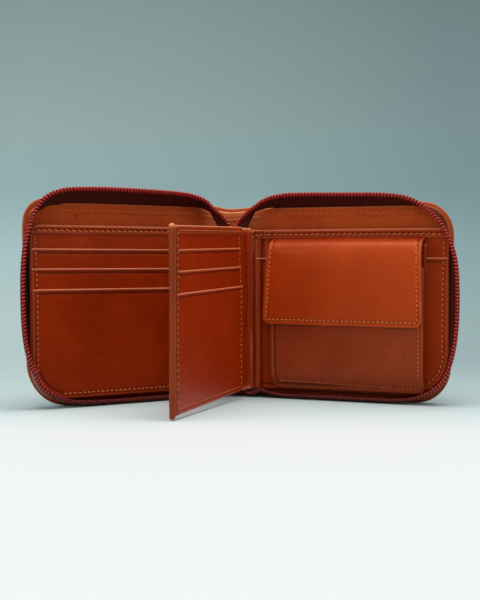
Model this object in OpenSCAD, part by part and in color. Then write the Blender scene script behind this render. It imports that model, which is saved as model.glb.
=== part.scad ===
// Zip-around leather wallet, standing open on its long bottom edge.
// +Z is up, the wallet opens towards -Y, and the origin is the foot of the spine.
// Each half is drawn in its own plane: u runs out from the spine, n runs from
// the outer leather towards the inside, z is height.

/* [Shell] */
// Height of the leather cover
cover_h = 100; // [96:0.5:104]
// Length of each half, from the fold line to its outer edge
half_w = 104; // [103:0.5:106]
// Distance between the two fold lines, which is the closed thickness
spine_w = 28; // [28:0.5:32]
// Radius of the upper cover corners
cover_r_top = 15; // [12:1:20]
// Radius of the lower cover corners
cover_r_bot = 19; // [16:1:26]
// Thickness of the cover leather
cover_t = 1.4; // [1.2:0.1:1.6]
// Angle that the left half stands forward of the spine
fold_left = 35; // [25:1:45]
// Angle that the right half stands forward of the spine
fold_right = 25; // [20:1:35]

/* [Zip] */
// Height of the zip loop
zip_h = 105; // [104:0.5:107]
// Reach of the zip loop from the fold line
zip_reach = 111; // [110:0.5:113]
// Width of one side of the coil
coil_w = 3.0; // [2.4:0.1:3.2]
// Thickness of the coil
coil_t = 2.4; // [2:0.1:2.6]
// Thickness of the zip tape
tape_t = 0.7; // [0.5:0.1:0.8]

/* [Inside] */
// Height of the top edge of the left inner panel
left_panel_top = 87; // [86:0.5:88]
// Height of the top edge of the right inner panel
right_panel_top = 86; // [85:0.5:87]
// Height of the lower edge of the inner panels
panel_foot = 4; // [3.5:0.1:5]
// Radius of the lower corners of the inner panels
panel_r = 22; // [20:1:26]
// Height of the upper card slot edge
slot_z1 = 76; // [74:0.5:78]
// Height of the middle card slot edge
slot_z2 = 66.5; // [65:0.5:69]
// Height of the lower card slot edge
slot_z3 = 56.6; // [55:0.5:59]

/* [Coin pocket] */
// Left edge of the coin pocket, from the fold line
coin_u0 = 14; // [14:0.5:16]
// Right edge of the coin pocket, from the fold line
coin_u1 = 92.5; // [90:0.5:94]
// Height of the coin pocket's lower edge
coin_foot = 7.2; // [6.8:0.1:9]
// Height of the coin pocket's front edge
coin_front_top = 67; // [60:1:68]
// Clear depth inside the coin pocket
coin_depth = 5.7; // [5.6:0.05:5.75]
// Height of the flap's lower edge
flap_foot = 38; // [34:1:42]

/* [Leaf] */
// Length of the centre leaf
leaf_len = 97; // [95:0.5:98]
// Height of the leaf's top edge
leaf_top = 86.5; // [85:0.5:87]
// Angle between the leaf and straight ahead
leaf_turn = 19; // [15:1:23]

/* [Hidden] */
$fn = 48;

tan_hide = [0.62, 0.24, 0.08];
dark_hide = [0.48, 0.15, 0.04];
lining_hide = [0.52, 0.21, 0.10];
board_grey = [0.45, 0.40, 0.34];
zip_red = [0.45, 0.05, 0.05];
tape_red = [0.28, 0.05, 0.04];
steel = [0.72, 0.70, 0.66];

half_gap = spine_w / 2;
mid_z = zip_h / 2;
skin0 = -0.4;                    // outer face of the cover
skin1 = skin0 + cover_t;         // inner face of the cover
board0 = skin1 + 0.05;
board1 = board0 + 0.6;
line0 = board1 + 0.05;
line1 = line0 + 0.6;
note0 = 4.6;                     // note-pocket panel
note1 = 5.4;
coil1 = 13.6;                    // free edge of the coil
coil0 = coil1 - coil_w;
back1 = 6.75;                    // coin pocket back, front face
front0 = back1 + coin_depth;
front1 = front0 + 0.7;

// hinge point of the centre leaf
leaf_x = 5.03;
leaf_y = -15.34;

// ---- placing a half, and drawing plates in its plane ----

module left_place() { translate([-half_gap, 0, 0]) rotate([0, 0, 180 + fold_left]) children(); }
module right_place() { translate([half_gap, 0, 0]) rotate([0, 0, -fold_right]) mirror([0, 1, 0]) children(); }
module leaf_place() { translate([leaf_x, leaf_y, 0]) rotate([0, 0, 270 - leaf_turn]) children(); }

// plane figure with the two outer corners rounded
module rounded_end(u0, u1, z0, z1, rb, rt) {
  difference() {
    translate([u0, z0]) square([u1 - u0, z1 - z0]);
    translate([u1 - rb, z0 - 1]) square([rb + 1, rb + 1]);
    translate([u1 - rt, z1 - rt]) square([rt + 1, rt + 1]);
  }
  translate([u1 - rb, z0 + rb]) circle(r = rb);
  translate([u1 - rt, z1 - rt]) circle(r = rt);
}

// plate of that figure between two depths
module sheet(u0, u1, z0, z1, n0, n1, rb, rt) {
  translate([0, n1, 0]) rotate([90, 0, 0]) linear_extrude(n1 - n0)
    rounded_end(u0, u1, z0, z1, rb, rt);
}

// ---- zip loop: a rounded arch with soft corners ----

arch_r = 26;                     // turn of the loop beside the spine
arch_u = 22;
flat_u = 40;
coil_start = 6;                  // the loop starts this far from the fold line
steps_turn = 5;
steps_corner = 22;

function ease(t) = 90 * (3 * t * t - 2 * t * t * t);
function spw(v, p) = v <= 0 ? 0 : pow(v, 2 / p);
a0 = acos((coil_start - arch_u) / arch_r);

// corner quadrant from the flat top round to the outer side
function corner(uc, a, b, p) =
  [for (i = [0:steps_corner]) let (f = 90 - ease(i / steps_corner))
    [uc + a * spw(cos(f), p), b * spw(sin(f), p)]];

coil_top = concat(
  [for (i = [0:steps_turn]) let (f = a0 + (90 - a0) * i / steps_turn)
    [arch_u + arch_r * cos(f), mid_z - arch_r + arch_r * sin(f)]],
  [[31, mid_z]], corner(flat_u, zip_reach - flat_u, mid_z, 4.5));
coil_bot = concat(
  [for (i = [0:steps_turn]) let (f = a0 + (90 - a0) * i / steps_turn)
    [arch_u + arch_r * cos(f), mid_z - arch_r + arch_r * sin(f)]],
  [[31, mid_z]], corner(flat_u, zip_reach - flat_u, mid_z, 4));

root_b_top = cover_h - 1.6 - mid_z;
root_b_bot = mid_z - 1.5;
root_a = half_w - 1.8 - flat_u;
root_top = concat(
  [for (i = [0:steps_turn]) [coil_start + (arch_u - coil_start) * i / steps_turn, root_b_top]],
  [[31, root_b_top]], corner(flat_u, root_a, root_b_top, 7));
root_bot = concat(
  [for (i = [0:steps_turn]) [coil_start + (arch_u - coil_start) * i / steps_turn, root_b_bot]],
  [[31, root_b_bot]], corner(flat_u, root_a, root_b_bot, 5.5));

function flip_path(p) = [for (i = [len(p) - 2:-1:0]) [p[i][0], -p[i][1]]];
function lift(p) = [for (q = p) [q[0], q[1] + mid_z]];
coil_path = lift(concat(coil_top, flip_path(coil_bot)));
root_path = lift(concat(root_top, flip_path(root_bot)));
rings = len(coil_path);

function unit2(v) = v / norm(v);
// outward normal of a path at one point
function out_dir(p, i) =
  let (a = p[max(i - 1, 0)], b = p[min(i + 1, len(p) - 1)], t = unit2(b - a))
  [-t[1], t[0]];

// closed tube through rings of equal length
function ring_faces(nr, m) = concat(
  [[for (k = [0:m - 1]) k]],
  [for (i = [0:nr - 2]) for (k = [0:m - 1])
    [i * m + k, (i + 1) * m + (k + 1) % m, i * m + (k + 1) % m]],
  [for (i = [0:nr - 2]) for (k = [0:m - 1])
    [i * m + k, (i + 1) * m + k, (i + 1) * m + (k + 1) % m]],
  [[for (k = [m - 1:-1:0]) (nr - 1) * m + k]]);

module zip_coil_loop() {
  pts = [for (i = [0:rings - 1]) let (q = coil_path[i], d = out_dir(coil_path, i))
    each [[q[0], coil1, q[1]], [q[0], coil0, q[1]],
          [q[0] - d[0] * coil_t, coil0, q[1] - d[1] * coil_t],
          [q[0] - d[0] * coil_t, coil1, q[1] - d[1] * coil_t]]];
  polyhedron(points = pts, faces = ring_faces(rings, 4), convexity = 6);
}

module zip_tape_loop() {
  m0 = coil_t / 2 - tape_t / 2;
  m1 = coil_t / 2 + tape_t / 2;
  pts = [for (i = [0:rings - 1])
    let (q = coil_path[i], d = out_dir(coil_path, i), r = root_path[i], e = out_dir(root_path, i))
    each [[q[0] - d[0] * m0, coil0 - 0.05, q[1] - d[1] * m0],
          [r[0], line1 + 0.05, r[1]],
          [r[0] - e[0] * tape_t, line1 + 0.05, r[1] - e[1] * tape_t],
          [q[0] - d[0] * m1, coil0 - 0.05, q[1] - d[1] * m1]]];
  polyhedron(points = pts, faces = ring_faces(rings, 4), convexity = 6);
}

// ---- spine ----

module spine_cover() { color(tan_hide)
  translate([-half_gap + 1.3, -skin1, 0]) cube([spine_w - 2.6, cover_t, cover_h - 1]); }

module spine_lining() { color(lining_hide)
  translate([-half_gap + 1.5, -line1, 2]) cube([spine_w - 3, 0.6, cover_h - 4]); }

module spine_panel() { color(dark_hide)
  translate([-8, -11.6, panel_foot + 5]) cube([16, 0.8, left_panel_top - panel_foot - 5]); }

// the coil tails run straight beside the slider, then open towards the two halves
tail_y = -8.8;
tail_in = [66, 74, 78, 84, 90, 92, 94.2, 96];
function tail_x(z) = z <= 78 ? 1.15 : z <= 84 ? 1.15 + (z - 78) * 0.24 : z <= 90 ? 2.59 : 2.59 + pow((z - 90) / 6, 1.5) * 3.6;
function tail_yy(z) = z <= 90 ? tail_y : tail_y - (z - 90) * 0.1;

module coil_tail(side, top) {
  zs = top ? tail_in : [for (z = tail_in) if (z >= 84) z];
  pts = [for (z = zs) let (x = tail_x(z), y = tail_yy(z), s = z > 90 ? 1.25 : 1.0)
    each [[x - s, y - 1.2, z], [x + s, y - 1.2, z], [x + s, y + 1.2, z], [x - s, y + 1.2, z]]];
  place = top ? 1 : -1;
  q = [for (p = pts) [side * p[0], p[1], top ? p[2] : zip_h - p[2]]];
  f = ring_faces(len(zs), 4);
  polyhedron(points = q, faces = side * place < 0 ? [for (g = f) [for (k = [len(g) - 1:-1:0]) g[k]]] : f, convexity = 4);
}

module zip_tail_coil_left() { color(zip_red) { coil_tail(-1, true); coil_tail(-1, false); } }
module zip_tail_coil_right() { color(zip_red) { coil_tail(1, true); coil_tail(1, false); } }

module tape_tail(side, top) {
  zs = top ? [66, 78, 84, 90] : [84, 90];
  pts = [for (z = zs) let (x = tail_x(z))
    each [[x + 1.05, tail_y - 0.3, z], [7.4, tail_y - 0.3, z], [7.4, tail_y + 0.3, z], [x + 1.05, tail_y + 0.3, z]]];
  place = top ? 1 : -1;
  q = [for (p = pts) [side * p[0], p[1], top ? p[2] : zip_h - p[2]]];
  f = ring_faces(len(zs), 4);
  polyhedron(points = q, faces = side * place < 0 ? [for (g = f) [for (k = [len(g) - 1:-1:0]) g[k]]] : f, convexity = 4);
}

module zip_tail_tape() { color(tape_red) {
  for (s = [-1, 1]) { tape_tail(s, true); tape_tail(s, false); } } }

module zip_join_stop() { color(steel)
  translate([-2.6, tail_y - 1.5, 63.6]) cube([5.2, 3, 2.3]); }

module zip_end_stops() { color(steel)
  for (s = [-1, 1]) translate([s * 2.59 - 1.3, tail_y - 1.5, zip_h - 84 + 0.05]) cube([2.6, 3, 1.6]); }

// ---- left half ----

module left_cover() { color(tan_hide) left_place()
  sheet(0.3, half_w, 0, cover_h, skin0, skin1, cover_r_bot, cover_r_top); }

module left_board() { color(board_grey) left_place()
  sheet(3.5, half_w - 3, 2.5, cover_h - 3, board0, board1, cover_r_bot - 2, cover_r_top - 2); }

module left_lining() { color(lining_hide) left_place()
  sheet(3, half_w - 1.2, 1, cover_h - 1.2, line0, line1, cover_r_bot - 1, cover_r_top - 1); }

module left_zip_tape() { color(tape_red) left_place() zip_tape_loop(); }
module left_zip_coil() { color(zip_red) left_place() zip_coil_loop(); }

left_edge = half_w - 1;          // outer edge of the left inner panels
module left_note_panel() { color(dark_hide) left_place()
  sheet(3, left_edge, panel_foot, left_panel_top, note0, note1, panel_r, 5); }

module left_hem() { color(dark_hide) left_place()
  sheet(14, left_edge, 83.4, left_panel_top, note1 + 0.05, 6.15, 0.1, 3.4); }

module left_slot_1() { color(dark_hide) left_place()
  sheet(14, left_edge - 0.2, panel_foot, slot_z1, note1 + 0.05, 6.15, panel_r, 0.8); }
module left_slot_2() { color(dark_hide) left_place()
  sheet(14, left_edge - 0.3, panel_foot, slot_z2, 6.2, 6.9, panel_r, 0.8); }
module left_slot_3() { color(dark_hide) left_place()
  sheet(14, left_edge - 0.4, panel_foot, slot_z3, 6.95, 7.75, panel_r, 0.8); }

// ---- right half ----

module right_cover() { color(tan_hide) right_place()
  sheet(0.3, half_w, 0, cover_h, skin0, skin1, cover_r_bot, cover_r_top); }

module right_board() { color(board_grey) right_place()
  sheet(3.5, half_w - 3, 2.5, cover_h - 3, board0, board1, cover_r_bot - 2, cover_r_top - 2); }

module right_lining() { color(lining_hide) right_place()
  sheet(3, half_w - 1.2, 1, cover_h - 1.2, line0, line1, cover_r_bot - 1, cover_r_top - 1); }

module right_zip_tape() { color(tape_red) right_place() zip_tape_loop(); }
module right_zip_coil() { color(zip_red) right_place() zip_coil_loop(); }

right_edge = half_w - 1.2;
module right_note_panel() { color(dark_hide) right_place()
  sheet(3, right_edge, panel_foot, right_panel_top, note0, note1, panel_r, 4); }

module right_hem() { color(dark_hide) right_place()
  sheet(14, right_edge, 81.6, right_panel_top, note1 + 0.05, 6.15, 0.1, 4); }

module right_card_pocket() { color(dark_hide) right_place()
  sheet(14, right_edge - 0.3, panel_foot, 71, note1 + 0.05, 6.05, panel_r, 0.8); }

module coin_back() { color(dark_hide) right_place()
  sheet(coin_u0, coin_u1, coin_foot, 79, 6.2, back1, 4, 0.8); }

module coin_gusset() { color(dark_hide) right_place()
  translate([0, front0 - 0.03, 0]) rotate([90, 0, 0]) linear_extrude(coin_depth - 0.06) difference() {
    rounded_end(coin_u0, coin_u1, coin_foot, coin_front_top, 4, 0.1);
    rounded_end(coin_u0 + 0.7, coin_u1 - 0.7, coin_foot + 0.7, coin_front_top + 1, 3.3, 0.1);
  } }

module coin_front() { color(dark_hide) right_place()
  sheet(coin_u0, coin_u1, coin_foot, coin_front_top, front0, front1, 4, 0.8); }

snap_u = (coin_u0 + coin_u1) / 2;
snap_z = flap_foot + 9;
module stud_at(n, r, h) { translate([snap_u, n, snap_z]) rotate([-90, 0, 0]) cylinder(h = h, r = r); }

module snap_stud() { color(steel) right_place() stud_at(front1 + 0.02, 6, 0.4); }

// ---- coin flap: one bent sheet with its lining ----

flap_in = front1 + 0.85;         // inner face of the flap lining
flap_mid = flap_in + 0.5;
flap_out = flap_mid + 0.8;
flap_root_n = 6.45;
flap_root_z = 81.1;
flap_u0 = coin_u0 - 0.5;
flap_u1 = coin_u1 + 0.6;

module flap_profile(a, b) {
  // bent strip between two offsets, drawn in depth and height
  translate([flap_u0, 0, 0]) rotate([90, 0, 90]) linear_extrude(flap_u1 - flap_u0)
    polygon([[flap_root_n + a * 0.4, flap_root_z - 1.3 + a], [flap_in + a - 1.2, 73.5 + a * 0.8],
             [flap_in + a, 70.5 + a * 0.3], [flap_in + a, flap_foot],
             [flap_in + b, flap_foot], [flap_in + b, 70.5 + b * 0.3],
             [flap_in + b - 1.2, 73.5 + b * 0.8], [flap_root_n + b * 0.4, flap_root_z - 1.3 + b]]);
}

module flap_outline() {
  // both lower corners rounded
  translate([0, 30, 0]) rotate([90, 0, 0]) linear_extrude(40) difference() {
    union() {
      translate([flap_u0, flap_foot + 4]) square([flap_u1 - flap_u0, 60]);
      translate([flap_u0 + 4, flap_foot]) square([flap_u1 - flap_u0 - 8, 10]);
      translate([flap_u0 + 4, flap_foot + 4]) circle(r = 4);
      translate([flap_u1 - 4, flap_foot + 4]) circle(r = 4);
    }
  }
}

module flap_outer() { color(tan_hide) right_place()
  intersection() { flap_profile(0.52, 1.3); flap_outline(); } }
module flap_lining() { color(dark_hide) right_place()
  intersection() { flap_profile(0, 0.5); flap_outline(); } }
module snap_socket() { color(steel) right_place() stud_at(flap_in - 0.4, 6, 0.38); }

// ---- centre leaf ----

module leaf_gusset() { color(dark_hide)
  translate([leaf_x - 1.6, -13.6, 5]) cube([3.2, 1.6, leaf_top - 5.5]); }

module leaf_tab() { color(dark_hide) leaf_place()
  translate([-1.2, -0.5, 5]) cube([3.1, 1, leaf_top - 5.5]); }

module leaf_sheet(v0, v1, z0, z1, m0, m1) {
  translate([v0, m0, z0]) cube([v1 - v0, m1 - m0, z1 - z0]); }

leaf_end = leaf_len - 2.65;
module leaf_core() { color(dark_hide) leaf_place() leaf_sheet(3, leaf_end, 3.2, leaf_top, -0.4, 0.4); }
module leaf_edge() { color(tan_hide) leaf_place()
  translate([leaf_end + 1.35, 0, 2.4]) cylinder(h = leaf_top - 2.2, r = 1.3); }
module leaf_hem() { color(dark_hide) leaf_place() leaf_sheet(5.5, leaf_end - 0.4, 82.8, leaf_top, 0.43, 1.1); }
module leaf_slot_1() { color(dark_hide) leaf_place() leaf_sheet(5.5, leaf_end - 0.4, 3.2, slot_z1, 0.43, 0.78); }
module leaf_slot_2() { color(dark_hide) leaf_place() leaf_sheet(5.5, leaf_end - 0.4, 3.2, slot_z2, 0.81, 1.14); }
module leaf_slot_3() { color(dark_hide) leaf_place() leaf_sheet(5.5, leaf_end - 0.4, 3.2, slot_z3, 1.17, 1.5); }
module leaf_rear_pocket() { color(dark_hide) leaf_place() leaf_sheet(5.5, leaf_end - 0.4, 3.2, 72, -1.0, -0.43); }

// ---- slider and pull tab ----

sl_z = 74;                       // lower edge of the slider
bail_y = -5.5;
bail_z = 80;

module slider_body() { color(steel) {
  // two wings joined by the divider, with side flanges
  for (y = [-10.55, -7.5]) translate([-4.9, y, sl_z]) cube([9.8, 0.5, 10]);
  for (s = [-1, 1]) {
    translate([s * 4.55 - 0.35, -10.05, sl_z]) cube([0.7, 0.85, 10]);
    translate([s * 4.55 - 0.35, -8.35, sl_z]) cube([0.7, 0.85, 10]);
  }
  translate([0, -7.49, sl_z + 8.5]) rotate([90, 0, 0]) linear_extrude(2.57)
    polygon([[-0.35, 0], [-1.0, 1.5], [1.0, 1.5], [0.35, 0]]);
} }

module slider_bail() { color(steel) {
  for (s = [-1, 1]) translate([s * 2.75 - 0.45, -6.98, bail_z - 0.8]) cube([0.9, 2.2, 1.6]);
  translate([-2.3, bail_y, bail_z]) rotate([0, 90, 0]) cylinder(h = 4.6, r = 0.6);
} }

module pull_tab() { color(steel) {
  difference() {
    union() {
      translate([-1.9, bail_y, bail_z]) rotate([0, 90, 0]) cylinder(h = 3.8, r = 1.25);
      translate([-1.9, bail_y - 0.45, 71]) cube([3.8, 0.9, 8.5]);
      translate([-3.1, bail_y - 0.45, 58]) cube([6.2, 0.9, 14.5]);
      translate([0, bail_y + 0.45, 58]) rotate([90, 0, 0]) cylinder(h = 0.9, r = 3.1);
    }
    translate([-3, bail_y, bail_z]) rotate([0, 90, 0]) cylinder(h = 6, r = 0.68);
    translate([0, bail_y + 2, 59]) rotate([90, 0, 0]) cylinder(h = 4, r = 1.2);
  }
} }

spine_cover();
spine_lining();
spine_panel();
zip_tail_tape();
zip_tail_coil_left();
zip_tail_coil_right();
zip_join_stop();
zip_end_stops();
left_cover();
left_board();
left_lining();
left_zip_tape();
left_zip_coil();
left_note_panel();
left_hem();
left_slot_1();
left_slot_2();
left_slot_3();
right_cover();
right_board();
right_lining();
right_zip_tape();
right_zip_coil();
right_note_panel();
right_hem();
right_card_pocket();
coin_back();
coin_gusset();
coin_front();
snap_stud();
flap_outer();
flap_lining();
snap_socket();
leaf_gusset();
leaf_tab();
leaf_core();
leaf_edge();
leaf_hem();
leaf_slot_1();
leaf_slot_2();
leaf_slot_3();
leaf_rear_pocket();
slider_body();
slider_bail();
pull_tab();
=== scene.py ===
import math

import bpy
import numpy as np
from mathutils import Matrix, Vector


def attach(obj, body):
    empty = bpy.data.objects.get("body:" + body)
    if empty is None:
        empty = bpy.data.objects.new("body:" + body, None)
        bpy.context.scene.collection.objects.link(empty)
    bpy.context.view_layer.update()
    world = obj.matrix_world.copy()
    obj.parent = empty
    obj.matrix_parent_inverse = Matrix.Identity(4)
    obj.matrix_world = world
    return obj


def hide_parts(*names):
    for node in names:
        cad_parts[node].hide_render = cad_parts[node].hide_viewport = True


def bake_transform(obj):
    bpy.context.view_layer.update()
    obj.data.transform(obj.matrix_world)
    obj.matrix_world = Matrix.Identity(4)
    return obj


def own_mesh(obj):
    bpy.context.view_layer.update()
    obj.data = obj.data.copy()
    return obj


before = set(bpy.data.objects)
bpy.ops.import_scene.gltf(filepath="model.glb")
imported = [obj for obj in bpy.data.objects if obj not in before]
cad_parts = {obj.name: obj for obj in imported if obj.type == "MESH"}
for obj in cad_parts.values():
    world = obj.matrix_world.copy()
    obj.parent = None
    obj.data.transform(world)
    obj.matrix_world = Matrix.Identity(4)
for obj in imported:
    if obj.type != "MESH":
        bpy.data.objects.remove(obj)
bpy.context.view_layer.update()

scene = bpy.context.scene
MM = 0.001
rng = np.random.RandomState(7)

# ---------------------------------------------------------------- places
FOLD_L = math.radians(215)
FOLD_R = math.radians(-25)
HALF = 14.0
ZIP_H = 105.0
MID = ZIP_H / 2


def arr(*v):
    return [np.asarray(x, float) for x in np.broadcast_arrays(*v)]


def PL(u, n, z):
    u, n, z = arr(u, n, z)
    c, s = math.cos(FOLD_L), math.sin(FOLD_L)
    return np.stack([-HALF + u * c - n * s, u * s + n * c, z], -1) * MM


def PR(u, n, z):
    u, n, z = arr(u, n, z)
    c, s = math.cos(FOLD_R), math.sin(FOLD_R)
    return np.stack([HALF + u * c + n * s, u * s - n * c, z], -1) * MM


LEAF_P = (5.03, -15.34)
LEAF_A = math.radians(251)


def PF(v, m, z):
    """Centre leaf: it droops a little towards its free end."""
    v, m, z = arr(v, m, z)
    c, s = math.cos(LEAF_A), math.sin(LEAF_A)
    f = np.clip(v / 97, 0, 1)
    k = np.clip((z - 3.2) / 83.3, 0, 1)
    zz = z + (1 - k) * (1.4 - 2.7 * f) + k * (0.9 - 1.7 * f)
    return np.stack([LEAF_P[0] + v * c - m * s, LEAF_P[1] + v * s + m * c, zz], -1) * MM


def bent(side, soft=4.0):
    """Place of a sheet that runs from the middle of the spine (u = -14) out along one half."""
    P = PL if side < 0 else PR
    turn = math.radians(35 if side < 0 else 25)

    def place(u, n, z):
        u, n, z = arr(u, n, z)
        t = np.clip((u + soft) / (2 * soft), 0, 1)
        c = HALF
        # quadratic between a point on the spine and a point on the half
        ax, ay = -soft, 0.0
        bx, by = soft * math.cos(turn), -soft * math.sin(turn)
        qx = (1 - t) ** 2 * ax + t * t * bx
        qy = (1 - t) ** 2 * ay + t * t * by
        tx = 2 * (1 - t) * (0 - ax) + 2 * t * bx
        ty = 2 * (1 - t) * (0 - ay) + 2 * t * by
        ln = np.hypot(tx, ty)
        nx, ny = ty / ln, -tx / ln
        x = np.where(u <= -soft, u, qx + nx * n)
        y = np.where(u <= -soft, -n, qy + ny * n)
        out = np.stack([side * (c + x), y, z], -1) * MM
        far = P(u, n, z)
        return np.where((u >= soft)[..., None], far, out)

    return place


# ---------------------------------------------------------------- smooth value noise
def _hash(i, j, seed):
    h = (i * 374761393 + j * 668265263 + seed * 1274126177) & 0xFFFFFFFF
    h = ((h ^ (h >> 13)) * 1274126177) & 0xFFFFFFFF
    return ((h ^ (h >> 16)) & 0xFFFF) / 32767.5 - 1


def wave(u, z, su, sz, seed=0, octaves=2):
    """Smooth noise, about -1 to 1, with features su by sz millimetres."""
    total, amp, norm = 0, 1.0, 0
    for o in range(octaves):
        a, b = u / su * 2 ** o + 100, z / sz * 2 ** o + 100
        i, j = np.floor(a).astype(np.int64), np.floor(b).astype(np.int64)
        f, g = a - i, b - j
        f, g = f * f * (3 - 2 * f), g * g * (3 - 2 * g)
        s = seed + o * 17
        v = (_hash(i, j, s) * (1 - f) + _hash(i + 1, j, s) * f) * (1 - g) + \
            (_hash(i, j + 1, s) * (1 - f) + _hash(i + 1, j + 1, s) * f) * g
        total, norm, amp = total + v * amp, norm + amp, amp * 0.5
    return total / norm


def bell(x, w):
    return np.exp(-(x / w) ** 2)


def step01(x, a, b):
    t = np.clip((x - a) / (b - a), 0, 1)
    return t * t * (3 - 2 * t)


# ---------------------------------------------------------------- mesh making
def make(name, verts, faces, mat, body=None, smooth=True, attrs=None):
    me = bpy.data.meshes.new(name)
    me.from_pydata([tuple(v) for v in verts], [], faces)
    me.update()
    if attrs:
        for k, vals in attrs.items():
            a = me.attributes.new(k, "FLOAT", "POINT")
            a.data.foreach_set("value", np.asarray(vals, np.float32))
    if smooth:
        me.shade_smooth()
    o = bpy.data.objects.new(name, me)
    scene.collection.objects.link(o)
    me.materials.append(mat)
    if body:
        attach(o, body)
    return o


def offsets(fine):
    base = [0, 0.1, 0.25, 0.45, 0.7, 1.0, 1.35, 1.7, 1.95, 2.2, 2.45, 2.75, 3.2, 3.9, 5.0, 6.8, 9.5, 13.0]
    if not fine:
        base = [0, 0.12, 0.32, 0.6, 1.0, 1.6, 2.4, 3.6, 5.5, 8.5]
    return np.array(base)


def spread(a, b, fine, stepmm, extra=()):
    off = offsets(fine)
    off = off[off < (b - a) * 0.42]
    lo, hi = a + off, b - off
    m = max(2, int(round((hi[-1] - lo[-1]) / stepmm)))
    mid = np.linspace(lo[-1], hi[-1], m + 1)[1:-1]
    vals = np.concatenate([lo, mid, hi])
    for e in extra:
        vals = np.concatenate([vals, e + np.array([-0.9, -0.55, -0.3, -0.1, 0.1, 0.3, 0.55, 0.9])])
    vals = np.unique(np.round(vals[(vals >= a - 1e-9) & (vals <= b + 1e-9)], 4))
    keep = [vals[0]]
    for v in vals[1:]:
        if v - keep[-1] > 0.07:
            keep.append(v)
    keep[-1] = vals[-1]
    return np.array(keep)


def edge_dist(u, z, u0, u1, z0, z1, r, joined=False):
    """Distance to the edge of a rounded rectangle; r = (bottom inner, top inner, bottom outer, top outer).
    joined: the sheet goes on past its inner end, so that end is no edge."""
    d = np.minimum(np.minimum(u - u0 + (200 if joined else 0), u1 - u), np.minimum(z - z0, z1 - z))
    for rad, cu, cz, su, sz in ((r[0], u0, z0, 1, 1), (r[1], u0, z1, 1, -1), (r[2], u1, z0, -1, 1), (r[3], u1, z1, -1, -1)):
        if rad <= 0.01:
            continue
        px, pz = cu + su * rad, cz + sz * rad
        inside = ((u - px) * su < 0) & ((z - pz) * sz < 0)
        d = np.where(inside, np.minimum(d, rad - np.hypot(u - px, z - pz)), d)
    return np.maximum(d, 0)


def row_range(z, u0, u1, z0, z1, r):
    lo, hi = np.full_like(z, u0), np.full_like(z, u1)
    for rad, cz, sz, inner in ((r[0], z0, 1, True), (r[1], z1, -1, True), (r[2], z0, 1, False), (r[3], z1, -1, False)):
        if rad <= 0.01:
            continue
        h = rad - (z - cz) * sz
        cut = np.where(h > 0, rad - np.sqrt(np.maximum(rad * rad - np.clip(h, 0, rad) ** 2, 0)), 0)
        if inner:
            lo = np.maximum(lo, u0 + cut)
        else:
            hi = np.minimum(hi, u1 - cut)
    return lo, hi


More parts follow.
